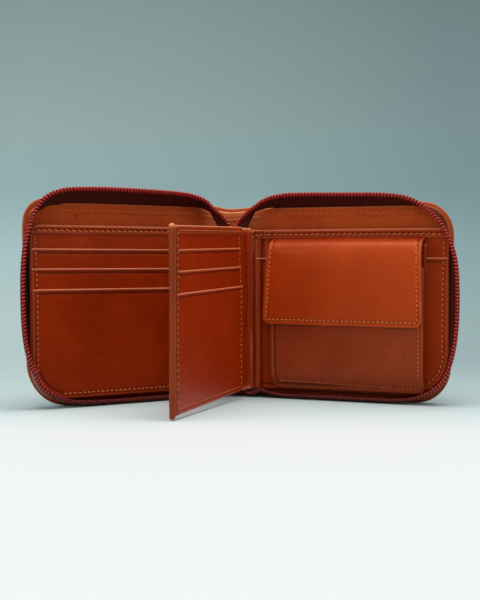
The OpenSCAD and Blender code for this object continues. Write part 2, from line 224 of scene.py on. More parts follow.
def slab(name, place, rect, r, n_back, n_front, mat, body=None, edge=0.35, fine=True, stepmm=2.4,
         zlines=(), ulines=(), bump=None, slot="inner_leather", crown=0.0, wear_w=0.5, back_bump=None, joined=False, rub_and_highlight=None, past=(0, 0)):
    """A closed sheet of leather with rolled edges. bump(u, z, d) lifts its front face."""
    u0, u1, z0, z1 = rect
    Z = spread(z0, z1, fine, stepmm, zlines)
    lo, hi = row_range(Z, u0, u1, z0, z1, r)
    T = spread(0, u1 - u0, fine, stepmm, [x - u0 for x in ulines])
    width = u1 - u0
    nz, nu = len(Z), len(T)
    # keep the fine columns the same size in every row
    w = (hi - lo)[:, None]
    t = T[None, :]
    near = np.minimum(t, width - t)
    scale = w / width
    U = lo[:, None] + t * scale
    lim = 13.0
    left, right = t < width / 2, t >= width / 2
    band = near < lim
    keep_w = (w - 2 * lim) / (width - 2 * lim)
    U = np.where(left & band, lo[:, None] + t, U)
    U = np.where(right & band, hi[:, None] - (width - t), U)
    U = np.where(~band, lo[:, None] + lim + (t - lim) * keep_w, U)
    ZZ = np.repeat(Z[:, None], nu, 1)
    # past: how far the sheet goes on below and above this piece of it
    D = edge_dist(U, ZZ, u0, u1, z0 - past[0], z1 + past[1], r, joined)
    ed = edge
    q = np.clip(1 - D / ed, 0, 1)
    half = (n_front - n_back) / 2
    rise = half * (1 - np.sqrt(np.maximum(1 - q * q, 0)))
    NF = n_front - rise
    NB = n_back + rise
    if crown:
        NF = NF + crown * step01(D, 0, 14)
    crease = np.zeros_like(U)
    if bump is not None:
        lift = bump(U, ZZ, D)
        near_line = 1 - step01(D, 4.0, 6.5)
        for zl in zlines:
            near_line = np.maximum(near_line, 1 - step01(np.abs(ZZ - zl), 1.2, 2.2))
        # painted shade mask: dips of the bump near edges and sewn lines are marked to be darkened
        crease = np.clip(-lift * 5.5 - 0.25, 0, 1) * near_line
        NF = NF + lift * step01(D, 0.0, 0.5)
    if back_bump is not None:
        NB = NB + back_bump(U, ZZ, D) * step01(D, 0.0, 0.5)
    front = place(U, NF, ZZ).reshape(-1, 3)
    back = place(U, NB, ZZ).reshape(-1, 3)
    verts = np.concatenate([front, back])
    F = np.arange(nz * nu).reshape(nz, nu)
    B = F + nz * nu
    faces = []
    a, b, c, d = F[:-1, :-1], F[:-1, 1:], F[1:, 1:], F[1:, :-1]
    faces += np.stack([a, b, c, d], -1).reshape(-1, 4).tolist()
    a, b, c, d = B[:-1, :-1], B[:-1, 1:], B[1:, 1:], B[1:, :-1]
    faces += np.stack([d, c, b, a], -1).reshape(-1, 4).tolist()
    ring = lambda p, q_: [[p[i], q_[i], q_[i + 1], p[i + 1]] for i in range(len(p) - 1)]
    faces += ring(F[0], B[0]) + ring(B[-1], F[-1]) + ring(B[:, 0], F[:, 0]) + ring(F[:, -1], B[:, -1])
    # pale rubbed edges, plus a painted highlight: a free top edge, which faces the lamp above, is made palest
    wear_and_highlight = np.exp(-D / wear_w) * (0.16 + 0.84 * np.exp(-np.maximum(z1 + past[1] - ZZ, 0) / 0.9))
    if rub_and_highlight is not None:
        wear_and_highlight = np.clip(wear_and_highlight + rub_and_highlight(U, ZZ), 0, 1)
    wear_and_highlight = wear_and_highlight.reshape(-1)
    crease = crease.reshape(-1)
    o = make(name, verts, faces, mat, body,
             attrs={"wear_and_highlight": np.concatenate([wear_and_highlight, wear_and_highlight]), "crease": np.concatenate([crease, crease * 0])})
    outward(o, (F[nz // 2][nu // 2], B[nz // 2][nu // 2]))
    return o


def outward(o, pair=None):
    """Face normals point out of the closed mesh."""
    import bmesh
    bm = bmesh.new()
    bm.from_mesh(o.data)
    bmesh.ops.remove_doubles(bm, verts=bm.verts, dist=1e-7)
    bmesh.ops.recalc_face_normals(bm, faces=bm.faces)
    bm.to_mesh(o.data)
    bm.free()
    o.data.update()


def grid(name, P, mat, body=None, closed=False, caps=False, attrs=None):
    """P is rows x columns x 3, in metres. closed joins the last column to the first."""
    nr, nc = P.shape[:2]
    idx = np.arange(nr * nc).reshape(nr, nc)
    if closed:
        idx = np.concatenate([idx, idx[:, :1]], 1)
    a, b, c, d = idx[:-1, :-1], idx[:-1, 1:], idx[1:, 1:], idx[1:, :-1]
    faces = np.stack([a, b, c, d], -1).reshape(-1, 4).tolist()
    if caps:
        faces += [list(idx[0, :-1][::-1]), list(idx[-1, :-1])]
    o = make(name, P.reshape(-1, 3), faces, mat, body, attrs=attrs)
    outward(o)
    return o


# ---------------------------------------------------------------- materials
def new_mat(name):
    m = bpy.data.materials.new(name)
    m.use_nodes = True
    nt = m.node_tree
    nt.nodes.clear()
    out = nt.nodes.new("ShaderNodeOutputMaterial")
    bsdf = nt.nodes.new("ShaderNodeBsdfPrincipled")
    nt.links.new(bsdf.outputs[0], out.inputs[0])
    return m, nt, bsdf


def node(nt, kind, **props):
    n = nt.nodes.new(kind)
    for k, v in props.items():
        if k.startswith("i_"):
            n.inputs[k[2:].replace("_", " ")].default_value = v
        else:
            setattr(n, k, v)
    return n


def noise_tex(nt, co, scale, detail=3, rough=0.55, distort=0.0):
    n = node(nt, "ShaderNodeTexNoise", i_Scale=scale, i_Detail=detail, i_Roughness=rough, i_Distortion=distort)
    nt.links.new(co, n.inputs["Vector"])
    return n.outputs["Fac"]


def ramp(nt, src, stops):
    r = node(nt, "ShaderNodeValToRGB")
    el = r.color_ramp.elements
    while len(el) > 1:
        el.remove(el[-1])
    el[0].position, el[0].color = stops[0][0], (*stops[0][1], 1)
    for p, c in stops[1:]:
        e = el.new(p)
        e.color = (*c, 1)
    nt.links.new(src, r.inputs[0])
    return r.outputs[0]


def mathn(nt, op, a, b=None, clamp=False):
    n = node(nt, "ShaderNodeMath", operation=op, use_clamp=clamp)
    for i, v in enumerate((a, b)):
        if v is None:
            continue
        if isinstance(v, (int, float)):
            n.inputs[i].default_value = v
        else:
            nt.links.new(v, n.inputs[i])
    return n.outputs[0]


def mixc(nt, fac, a, b, mode="MIX"):
    n = node(nt, "ShaderNodeMix", data_type="RGBA", blend_type=mode)
    for key, v in (("Factor", fac), ("A", a), ("B", b)):
        sock = [s for s in n.inputs if s.name == key and (s.type == ("VALUE" if key == "Factor" else "RGBA"))][0]
        if isinstance(v, (int, float)):
            sock.default_value = v
        elif isinstance(v, tuple):
            sock.default_value = (*v, 1) if len(v) == 3 else v
        else:
            nt.links.new(v, sock)
    return [s for s in n.outputs if s.type == "RGBA"][0]


def srgb(r, g, b):
    f = lambda c: ((c / 255 + 0.055) / 1.055) ** 2.4 if c > 10 else c / 255 / 12.92
    return (f(r), f(g), f(b))


def leather(name, light, dark, edge, rough=0.42, grain=1500, grain_h=0.00006, wrinkle=0.00012,
            coat=0.0, mottle=38, spec=0.30, pebble=0.0, tint=(1.0, 0.42, 0.22)):
    """Finished leather: pores, fine creases, mottled dye, paler rubbed edges. The pale edge colour also gives a painted
    highlight along top edges, and dips get painted shade.
    """
    m, nt, b = new_mat(name)
    co = node(nt, "ShaderNodeTexCoord").outputs["Object"]
    big = noise_tex(nt, co, mottle, 4, 0.6, 0.4)
    mid = noise_tex(nt, co, 260, 3, 0.6, 0.8)
    fine = noise_tex(nt, co, 2600, 2, 0.6)
    col = ramp(nt, big, [(0.3, dark), (0.52, tuple((l + d) / 2 for l, d in zip(light, dark))), (0.72, light)])
    col = mixc(nt, mathn(nt, "MULTIPLY", mathn(nt, "SUBTRACT", mid, 0.42, True), 0.9, True), col,
               tuple(c * 0.62 for c in dark), "MIX")
    vor = node(nt, "ShaderNodeTexVoronoi", feature="DISTANCE_TO_EDGE", i_Scale=grain, i_Randomness=1.0)
    vadd = node(nt, "ShaderNodeVectorMath", operation="ADD")
    nt.links.new(co, vadd.inputs[0])
    wn = node(nt, "ShaderNodeTexNoise", i_Scale=700.0, i_Detail=2.0)
    nt.links.new(co, wn.inputs["Vector"])
    sc = node(nt, "ShaderNodeVectorMath", operation="SCALE")
    sc.inputs["Scale"].default_value = 0.0009
    nt.links.new(wn.outputs["Color"], sc.inputs[0])
    nt.links.new(sc.outputs[0], vadd.inputs[1])
    nt.links.new(vadd.outputs[0], vor.inputs["Vector"])
    cell = mathn(nt, "MULTIPLY", mathn(nt, "MINIMUM", vor.outputs["Distance"], 0.16), 6.2)
    # darker dye in the creases between pores
    col = mixc(nt, mathn(nt, "MULTIPLY", mathn(nt, "SUBTRACT", 1.0, cell, True), 0.20, True), col,
               tuple(c * 0.45 for c in dark))
    # this attribute holds rubbed-edge wear and, along top edges, a painted highlight; it blends in the pale edge colour
    wear_and_highlight = node(nt, "ShaderNodeAttribute", attribute_name="wear_and_highlight").outputs["Fac"]
    rub_and_highlight = mathn(nt, "MULTIPLY", wear_and_highlight, mathn(nt, "ADD", mathn(nt, "MULTIPLY", mid, 0.9), 0.45), True)
    col = mixc(nt, mathn(nt, "MULTIPLY", rub_and_highlight, 0.95, True), col, edge)
    # painted shade: the crease attribute darkens dips in the surface, as shade in grooves and creases
    fold = node(nt, "ShaderNodeAttribute", attribute_name="crease").outputs["Fac"]
    col = mixc(nt, mathn(nt, "MULTIPLY", fold, 0.85, True), col, tuple(c * 0.22 for c in dark))
    nt.links.new(col, b.inputs["Base Color"])
    r = mathn(nt, "ADD", mathn(nt, "MULTIPLY", mid, 0.16), rough - 0.08)
    r = mathn(nt, "ADD", r, mathn(nt, "MULTIPLY", mathn(nt, "SUBTRACT", 1.0, cell, True), 0.10))
    nt.links.new(r, b.inputs["Roughness"])
    b.inputs["Specular IOR Level"].default_value = spec
    b.inputs["Specular Tint"].default_value = (*tint, 1)
    b.inputs["Coat Weight"].default_value = coat
    b.inputs["Coat Roughness"].default_value = 0.3
    b.inputs["Coat Tint"].default_value = (*tint, 1)
    h = mathn(nt, "MULTIPLY", cell, 1.0)
    h = mathn(nt, "ADD", h, mathn(nt, "MULTIPLY", fine, 0.35))
    b1 = node(nt, "ShaderNodeBump", i_Strength=0.55, i_Distance=grain_h)
    nt.links.new(h, b1.inputs["Height"])
    b2 = node(nt, "ShaderNodeBump", i_Strength=0.6, i_Distance=wrinkle)
    cre = noise_tex(nt, co, 170, 5, 0.62, 1.6)
    nt.links.new(cre, b2.inputs["Height"])
    nt.links.new(b1.outputs[0], b2.inputs["Normal"])
    last = b2
    if pebble:
        v2 = node(nt, "ShaderNodeTexVoronoi", feature="SMOOTH_F1", i_Scale=520.0, i_Smoothness=0.5)
        nt.links.new(vadd.outputs[0], v2.inputs["Vector"])
        b3 = node(nt, "ShaderNodeBump", i_Strength=0.8, i_Distance=pebble)
        b3.invert = True
        nt.links.new(v2.outputs["Distance"], b3.inputs["Height"])
        nt.links.new(last.outputs[0], b3.inputs["Normal"])
        last = b3
    nt.links.new(last.outputs[0], b.inputs["Normal"])
    return m


def woven(name, c1, c2, scale=900, rough=0.8):
    """Herringbone zip tape: warp and weft from two crossing waves."""
    m, nt, b = new_mat(name)
    co = node(nt, "ShaderNodeTexCoord").outputs["Object"]
    w1 = node(nt, "ShaderNodeTexWave", wave_type="BANDS", bands_direction="DIAGONAL", i_Scale=scale, i_Distortion=0.6)
    w1.inputs["Detail"].default_value = 1.0
    w2 = node(nt, "ShaderNodeTexWave", wave_type="BANDS", bands_direction="Z", i_Scale=scale * 0.9, i_Distortion=0.4)
    nt.links.new(co, w1.inputs["Vector"])
    nt.links.new(co, w2.inputs["Vector"])
    mx = mathn(nt, "MAXIMUM", w1.outputs["Fac"], w2.outputs["Fac"])
    n = noise_tex(nt, co, 600, 3)
    col = mixc(nt, mathn(nt, "MULTIPLY", mx, mathn(nt, "ADD", n, 0.3), True), c1, c2)
    nt.links.new(col, b.inputs["Base Color"])
    b.inputs["Roughness"].default_value = rough
    b.inputs["Specular IOR Level"].default_value = 0.12
    bp = node(nt, "ShaderNodeBump", i_Strength=0.7, i_Distance=0.00012)
    nt.links.new(mx, bp.inputs["Height"])
    nt.links.new(bp.outputs[0], b.inputs["Normal"])
    return m


def nylon(name, c1, c2, rough=0.28):
    m, nt, b = new_mat(name)
    co = node(nt, "ShaderNodeTexCoord").outputs["Object"]
    n = noise_tex(nt, co, 900, 3, 0.6)
    n2 = noise_tex(nt, co, 60, 2)
    col = ramp(nt, mathn(nt, "ADD", mathn(nt, "MULTIPLY", n, 0.6), mathn(nt, "MULTIPLY", n2, 0.4)), [(0.35, c1), (0.65, c2)])
    # painted shade along the foot of the loop, which lies in shadow
    foot_shade_fac = node(nt, "ShaderNodeAttribute", attribute_name="painted_foot_shade").outputs["Fac"]
    col = mixc(nt, mathn(nt, "MULTIPLY", foot_shade_fac, 0.82, True), col, (0.040, 0.0022, 0.0018))
    nt.links.new(col, b.inputs["Base Color"])
    nt.links.new(mathn(nt, "ADD", mathn(nt, "MULTIPLY", n, 0.2), rough - 0.1), b.inputs["Roughness"])
    b.inputs["Specular IOR Level"].default_value = 0.7
    b.inputs["Specular Tint"].default_value = (1.0, 0.60, 0.50, 1)
    bp = node(nt, "ShaderNodeBump", i_Strength=0.25, i_Distance=0.00005)
    nt.links.new(n, bp.inputs["Height"])
    nt.links.new(bp.outputs[0], b.inputs["Normal"])
    return m


def thread_mat(name, c1, c2):
    """Twisted sewing thread."""
    m, nt, b = new_mat(name)
    co = node(nt, "ShaderNodeTexCoord").outputs["Object"]
    w = node(nt, "ShaderNodeTexWave", wave_type="BANDS", bands_direction="DIAGONAL", i_Scale=1500.0, i_Distortion=1.0)
    nt.links.new(co, w.inputs["Vector"])
    n = noise_tex(nt, co, 300, 2)
    col = mixc(nt, mathn(nt, "MULTIPLY", w.outputs["Fac"], mathn(nt, "ADD", n, 0.25), True), c1, c2)
    nt.links.new(col, b.inputs["Base Color"])
    b.inputs["Roughness"].default_value = 0.5
    b.inputs["Specular IOR Level"].default_value = 0.25
    b.inputs["Specular Tint"].default_value = (1.0, 0.55, 0.34, 1)
    bp = node(nt, "ShaderNodeBump", i_Strength=0.5, i_Distance=0.00008)
    nt.links.new(w.outputs["Fac"], bp.inputs["Height"])
    nt.links.new(bp.outputs[0], b.inputs["Normal"])
    return m


def metal_mat(name, c1, c2, rough=0.3):
    """Plated metal with fine rolling marks and handling wear."""
    m, nt, b = new_mat(name)
    co = node(nt, "ShaderNodeTexCoord").outputs["Object"]
    mp = node(nt, "ShaderNodeMapping")
    mp.inputs["Scale"].default_value = (1.0, 1.0, 0.06)
    nt.links.new(co, mp.inputs["Vector"])
    n = noise_tex(nt, mp.outputs[0], 5200, 3, 0.6)
    n2 = noise_tex(nt, co, 420, 4, 0.6)
    nt.links.new(ramp(nt, n2, [(0.38, c1), (0.62, c2)]), b.inputs["Base Color"])
    b.inputs["Metallic"].default_value = 1.0
    nt.links.new(mathn(nt, "ADD", mathn(nt, "MULTIPLY", n, 0.25), rough - 0.1), b.inputs["Roughness"])
    bp = node(nt, "ShaderNodeBump", i_Strength=0.3, i_Distance=0.00003)
    nt.links.new(n, bp.inputs["Height"])
    nt.links.new(bp.outputs[0], b.inputs["Normal"])
    return m


def card_mat(name):
    m, nt, b = new_mat(name)
    co = node(nt, "ShaderNodeTexCoord").outputs["Object"]
    n = noise_tex(nt, co, 900, 5, 0.7)
    nt.links.new(ramp(nt, n, [(0.35, (0.22, 0.18, 0.13)), (0.65, (0.36, 0.31, 0.24))]), b.inputs["Base Color"])
    b.inputs["Roughness"].default_value = 0.85
    bp = node(nt, "ShaderNodeBump", i_Strength=0.5, i_Distance=0.0001)
    nt.links.new(n, bp.inputs["Height"])
    nt.links.new(bp.outputs[0], b.inputs["Normal"])
    return m


# the third colour of each leather is its pale edge colour, made bright enough to serve as a painted highlight on lit
# top edges as well as edge wear
M_PANEL = leather("panel_leather", (0.310, 0.0250, 0.0012), (0.225, 0.0150, 0.0006), (1.0, 0.370, 0.190), rough=0.36)
M_LEAF = leather("leaf_leather", (0.355, 0.0235, 0.0005), (0.265, 0.0155, 0.0003), (1.0, 0.350, 0.170), rough=0.32, spec=0.42)
M_FLAP = leather("flap_leather", (0.425, 0.0405, 0.0030), (0.315, 0.0255, 0.0016), (0.80, 0.240, 0.095), rough=0.25, spec=0.80,
                 tint=(1.0, 0.34, 0.13))
M_BIND = leather("binding_leather", (0.215, 0.0260, 0.0045), (0.150, 0.0150, 0.0022), (0.85, 0.290, 0.140), rough=0.42, spec=0.18)
M_COIN = leather("coin_leather", (0.255, 0.0310, 0.0070), (0.190, 0.0205, 0.0042), (0.66, 0.180, 0.080), rough=0.36, spec=0.55)
M_LINING = leather("lining_leather", (0.480, 0.0720, 0.0130), (0.355, 0.0470, 0.0076), (0.75, 0.270, 0.100), rough=0.5,
                   wrinkle=0.0003, mottle=60, spec=0.2)
M_COVER = leather("cover_leather", (0.400, 0.0780, 0.0190), (0.290, 0.0500, 0.0115), (0.60, 0.200, 0.085), rough=0.46,
                  grain=1100, grain_h=0.0001, pebble=0.00008, spec=0.25)
M_TAPE = woven("tape_weave", (0.028, 0.0032, 0.0018), (0.080, 0.0095, 0.0040))
M_COIL = nylon("coil_nylon", (0.26, 0.0055, 0.0048), (0.41, 0.0100, 0.0080))
# painted shade: the core is coloured far darker than the teeth, standing in for the shade in the gaps between them
M_CORE = nylon("coil_core", (0.085, 0.0030, 0.0028), (0.130, 0.0045, 0.0040), rough=0.6)
M_THREAD = thread_mat("thread", (0.420, 0.082, 0.020), (0.800, 0.225, 0.072))
M_METAL = metal_mat("plated_metal", (0.56, 0.50, 0.40), (0.72, 0.66, 0.54))
M_BOARD = card_mat("board")


def set_cad(names, mat):
    for nm in names:
        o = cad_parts[nm]
        o.data.materials.clear()
        o.data.materials.append(mat)


set_cad(["zip_join_stop", "zip_end_stops", "snap_stud", "snap_socket", "slider_body", "slider_bail", "pull_tab"], M_METAL)
set_cad(["left_board", "right_board"], M_BOARD)


# ---------------------------------------------------------------- stitches
def resample(pts, pitch):
    pts = np.asarray(pts, float)
    seg = np.hypot(*(pts[1:] - pts[:-1]).T)
    s = np.concatenate([[0], np.cumsum(seg)])
    n = max(1, int(s[-1] / pitch))
    q = (np.arange(n) + 0.5) * s[-1] / n
    c = np.stack([np.interp(q, s, pts[:, k]) for k in range(2)], -1)
    e = 0.6
    a = np.stack([np.interp(q - e, s, pts[:, k]) for k in range(2)], -1)
    b = np.stack([np.interp(q + e, s, pts[:, k]) for k in range(2)], -1)
    t = b - a
    return c, t / np.hypot(*t.T)[:, None]


def stitches(name, place, lines, body, sign=1, dia=0.52, length=2.15, pitch=2.9, tilt=9, mat=None, proud=0.34, sink=0.2):
    """One raised, slightly slanted thread per stitch. lines = [(points (u, z), n or function of (u, z))]."""
    ks, rs = 9, 6
    s = np.linspace(-1, 1, ks)
    ang = np.arange(rs) / rs * 2 * math.pi
    rad = dia / 2 * np.sqrt(np.clip(1 - np.abs(s) ** 3.5 * 0.72, 0.05, 1))
    verts, faces = [], []
    local = np.random.RandomState(len(name) * 13 + len(lines))
    for pts, nf in lines:
        c, t = resample(pts, pitch)
        for k in range(len(c)):
            a = math.radians(tilt + local.uniform(-4, 4))
            tx, tz = t[k]
            dx, dz = tx * math.cos(a) - tz * math.sin(a), tx * math.sin(a) + tz * math.cos(a)
            px, pz = -dz, dx
            n0 = nf(c[k][0], c[k][1]) if callable(nf) else nf
            ll = length * local.uniform(0.93, 1.05)
            h = proud * (1 - s * s) - sink * s ** 4
            U = c[k][0] + dx * s[:, None] * ll / 2 + px * rad[:, None] * np.cos(ang)[None]
            Zv = c[k][1] + dz * s[:, None] * ll / 2 + pz * rad[:, None] * np.cos(ang)[None]
            N = n0 + sign * (h[:, None] + rad[:, None] * 0.8 * np.sin(ang)[None] - dia * 0.18)
            base = len(verts) * ks * rs
            verts.append(place(U, N, Zv).reshape(-1, 3))
            for i in range(ks - 1):
                for j in range(rs):
                    j2 = (j + 1) % rs
                    faces.append([base + i * rs + j, base + i * rs + j2, base + (i + 1) * rs + j2, base + (i + 1) * rs + j])
            faces.append([base + j for j in range(rs)][::-1])
            faces.append([base + (ks - 1) * rs + j for j in range(rs)])
    o = make(name, np.concatenate(verts), faces, mat or M_THREAD, body)
    outward(o)
    return o


def arc_pts(cu, cz, r, a0, a1, n=14):
    a = np.radians(np.linspace(a0, a1, n))
    return [(cu + r * math.cos(x), cz + r * math.sin(x)) for x in a]


# ---------------------------------------------------------------- zip loop, the same path as the solids
def ease(t):
    return 90 * (3 * t * t - 2 * t * t * t)


def spw(v, p):
    return 0 if v <= 0 else v ** (2 / p)


def corner(uc, a, b, p, n=22):
    out = []
    for i in range(n + 1):
        f = math.radians(90 - ease(i / n))
        out.append((uc + a * spw(math.cos(f), p), b * spw(math.sin(f), p)))
    return out


ARCH_R, ARCH_U, FLAT_U, START = 26.0, 22.0, 40.0, 6.0
A0 = math.degrees(math.acos((START - ARCH_U) / ARCH_R))


def half_path(top, p):
    b = 98.4 - MID if top else MID - 1.5
    first = [(START + (ARCH_U - START) * i / 5, b) for i in range(6)]
    return first + [(31, b)] + corner(FLAT_U, 102.2 - FLAT_U, b, p)


def root_path():
    top, bot = half_path(True, 7), half_path(False, 5.5)
    pts = top + [(q[0], -q[1]) for q in bot[-2::-1]]
    return np.array(pts) + [0, MID]


# outer edge of each side of the zip, from the spine over the top, down the outer side and back: soft
# leather lets the two sides differ a little
COIL_L = [(6, 100.8), (10.9, 103.1), (15.7, 104.3), (20.5, 105.0), (30, 105.6), (40, 105.9), (52, 106.1), (66, 106.2), (75, 106.0),
          (83.5, 105.6), (88, 105.1), (92, 104.1), (96.1, 102.5), (99.5, 100.3), (102.5, 97.2), (104.8, 93.4), (106.4, 89.8),
          (107.8, 85.8), (109, 81.5), (110.2, 75.5), (111, 68), (111.3, 59), (111.2, 49), (110.8, 40), (109.9, 32), (108.6, 26),
          (106.7, 20.5), (104.3, 15.2), (101.6, 11.3), (98.6, 8.1), (95.6, 5.9), (92.5, 4.4), (89, 2.9), (85, 1.8), (79, 1.1),
          (70, 0.7), (56, 0.6), (42, 0.7), (31, 0.6), (22, 0.5), (15.7, 0.9), (10.9, 2.2), (6, 5.0)]
COIL_R = [(6, 101.6), (10.8, 103.5), (15.2, 104.3), (19.6, 104.8), (26, 105.0), (33, 104.9), (41, 104.7), (50, 104.5), (58, 104.3),
          (66, 104.1), (72, 103.8), (78, 103.2), (82.7, 102.3), (86.8, 100.9), (90.8, 98.8), (94.5, 96.3), (98, 93.2), (101, 89.8),
          (103.5, 86.2), (105.7, 81.8), (107.4, 77.3), (108.9, 71.8), (109.8, 65.5), (110.2, 58), (110.3, 50), (110.1, 42), (109.6, 35),
          (108.8, 28.8), (107.6, 23.3), (106.1, 18.2), (104.5, 14.2), (102.5, 11.0), (99.9, 8.2), (97, 6.0), (94, 4.3), (90.8, 2.9),
          (87, 1.8), (82, 1.1), (75, 0.7), (60, 0.6), (45, 0.7), (31, 0.6), (22, 0.5), (15.7, 0.8), (10.9, 1.5), (6, 2.8)]


def dense(a, per=6):
    """Catmull-Rom through the points."""
    a = np.asarray(a, float)
    p = np.concatenate([[2 * a[0] - a[1]], a, [2 * a[-1] - a[-2]]])
    out = []
    for i in range(1, len(p) - 2):
        for k in range(per):
            t = k / per
            out.append(0.5 * (2 * p[i] + (p[i + 1] - p[i - 1]) * t + (2 * p[i - 1] - 5 * p[i] + 4 * p[i + 1] - p[i + 2]) * t * t
                              + (3 * p[i] - p[i - 1] - 3 * p[i + 1] + p[i + 2]) * t ** 3))
    out.append(p[-2])
    return np.array(out)


def even(path, n):
    """The same line with n evenly spaced points."""
    seg = np.hypot(*(path[1:] - path[:-1]).T)
    s = np.concatenate([[0], np.cumsum(seg)])
    q = np.linspace(0, s[-1], n)
    return np.stack([np.interp(q, s, path[:, k]) for k in range(2)], -1)


def taper(side, u, z):
    """The cover is a little wider at its head than at its foot."""
    u, z = arr(u, z)
    top, foot = (0.7, -1.3) if side < 0 else (0.1, -1.2)
    return u + (foot + (top - foot) * step01(z, 8, 88)) * step01(u, 40, 104)


COILS = {side: even(dense(pts, 8), 460) for side, pts in ((-1, COIL_L), (1, COIL_R))}


def match_root(side):
    """The seam line in the cover, point by point beside the coil."""
    root = dense(root_path())
    root = np.stack([taper(side, root[:, 0], root[:, 1]), root[:, 1]], -1)
    root = even(root, 460)
    # pair by turn round the loop, so the tape does not twist
    c = COILS[side]
    ang = lambda p: np.unwrap(np.arctan2(p[:, 1] - MID, p[:, 0] - 52))
    ar, ac = ang(root), ang(c)
    return np.stack([np.interp(-ac, -ar, root[:, k]) for k in range(2)], -1)


ROOTS = {side: match_root(side) for side in (-1, 1)}


def path_normals(p):
    d = np.gradient(p, axis=0)
    size = np.hypot(*d.T)
    ok = np.flatnonzero(size > 1e-9)  # a doubled point takes its neighbour's direction
    near = ok[np.abs(ok[None] - np.arange(len(p))[:, None]).argmin(1)]
    d = d[near] / size[near][:, None]
    return np.stack([-d[:, 1], d[:, 0]], -1)


def sweep3(C, tube, name, mat, body=None, slot=None):
    """C: centre points, not used. tube(i) -> ring of points. Closed tube."""
    return grid(name, tube, mat, body, closed=True, caps=True)


def helix(name, centre, side_v, out_v, a, b, pitch, wire, mat, body=None, seg=14, sides=6, phase=0.0):
    """A flattened coil of monofilament around a 3D centre line (all in metres)."""
    seglen = np.linalg.norm(np.diff(centre, axis=0), axis=1)
    s = np.concatenate([[0], np.cumsum(seglen)])
    turns = s[-1] / pitch
    n = int(turns * seg)
    q = np.linspace(0, s[-1], n + 1)
    ip = lambda A: np.stack([np.interp(q, s, A[:, k]) for k in range(3)], -1)
    c, sv, ov = ip(centre), ip(side_v), ip(out_v)
    th = q / pitch * 2 * math.pi + phase
    # squarish loop: legs run across, heads are round
    ct, st = np.cos(th), np.sin(th)
    e = 0.72
    X = np.sign(ct) * np.abs(ct) ** e * a
    Y = np.sign(st) * np.abs(st) ** e * b
    line = c + sv * X[:, None] + ov * Y[:, None]
    t = np.gradient(line, axis=0)
    t /= np.linalg.norm(t, axis=1)[:, None]
    radial = sv * (ct / a)[:, None] + ov * (st / b)[:, None]
    radial -= t * np.sum(radial * t, 1)[:, None]
    radial /= np.linalg.norm(radial, axis=1)[:, None]
    bi = np.cross(t, radial)
    ang = np.arange(sides) / sides * 2 * math.pi
    ring = line[:, None, :] + wire * (radial[:, None, :] * np.cos(ang)[None, :, None] + bi[:, None, :] * np.sin(ang)[None, :, None])
    # painted shade mask: full at the foot of the loop, gone by 12 mm up
    painted_foot_shade = 1 - step01(ring[..., 2].reshape(-1) / MM, 2.0, 12.0)
    return grid(name, ring, mat, body, closed=True, caps=True, attrs={"painted_foot_shade": painted_foot_shade})


def sweep_flat(name, A, B, thick, mat, body=None, bulge=0.0, bulge_dir=None, cols=9):
    """A ribbon with thickness between two 3D lines A and B (metres)."""
    t = np.linspace(0, 1, cols)
    S = A[:, None, :] * (1 - t)[None, :, None] + B[:, None, :] * t[None, :, None]
    if bulge_dir is not None:
        S = S + bulge_dir[:, None, :] * (bulge * np.sin(t * math.pi))[None, :, None]
    along = np.gradient(S, axis=0)
    across = np.gradient(S, axis=1)
    nrm = np.cross(along, across)
    nrm /= np.linalg.norm(nrm, axis=2)[:, :, None] + 1e-12
    P = np.concatenate([S + nrm * thick / 2, (S - nrm * thick / 2)[:, ::-1]], 1)
    return grid(name, P, mat, body, closed=True, caps=True)


def zip_side(side):
    COIL, ROOT = COILS[side], ROOTS[side]
    P = PL if side < 0 else PR
    nm = "left" if side < 0 else "right"
    body = nm + "_half"
    half_t, half_w, n_mid = 1.2, 1.5, 12.1
    nrm = path_normals(COIL)
    C2 = COIL - nrm * half_t
    centre = P(C2[:, 0], n_mid, C2[:, 1])
    outv = P(C2[:, 0] + nrm[:, 0], n_mid, C2[:, 1] + nrm[:, 1]) - centre
    outv /= np.linalg.norm(outv, axis=1)[:, None]
    sidev = P(C2[:, 0], n_mid + 1, C2[:, 1]) - centre
    sidev /= np.linalg.norm(sidev, axis=1)[:, None]
    w = 0.41 * MM
    helix(nm + "_coil_teeth", centre, sidev, outv, half_w * MM - w, half_t * MM - w, 1.72 * MM, w, M_COIL, body)
    # dark core inside the teeth: its colour is painted shade between the teeth
    ang = np.arange(12) / 12 * 2 * math.pi
    core = centre[:, None, :] + (sidev[:, None, :] * (np.cos(ang) * (half_w * MM - w * 2.1))[None, :, None]
                                 + outv[:, None, :] * (np.sin(ang) * (half_t * MM - w * 1.9))[None, :, None])
    g = grid(nm + "_coil_core", core, M_CORE, body, closed=True, caps=True)
    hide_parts(nm + "_zip_coil")
    # tape from the seam between cover and lining out to the coil
    rn = path_normals(ROOT)
    A2 = ROOT - rn * 0.35
    B2 = COIL - nrm * half_t * 0.75
    A = P(A2[:, 0], 1.75, A2[:, 1])
    B = P(B2[:, 0], 10.9, B2[:, 1])
    tp = sweep_flat(nm + "_tape", A, B, 0.62 * MM, M_TAPE, body, bulge=0.5 * MM, bulge_dir=outv)
    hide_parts(nm + "_zip_tape")
    # a sewn welt where the tape leaves the cover
    ring = []
    W2 = ROOT + rn * 0.45
    wc = P(W2[:, 0], 1.9, W2[:, 1])
    wo = P(W2[:, 0] + rn[:, 0], 1.9, W2[:, 1] + rn[:, 1]) - wc
    wo /= np.linalg.norm(wo, axis=1)[:, None]
    ang = np.arange(8) / 8 * 2 * math.pi
    ring = wc[:, None, :] + (sidev[:, None, :] * (np.cos(ang) * 0.55 * MM)[None, :, None]
                             + wo[:, None, :] * (np.sin(ang) * 0.75 * MM)[None, :, None])
    grid(nm + "_zip_welt", ring, M_COVER, body, closed=True, caps=True)


zip_side(-1)
zip_side(1)


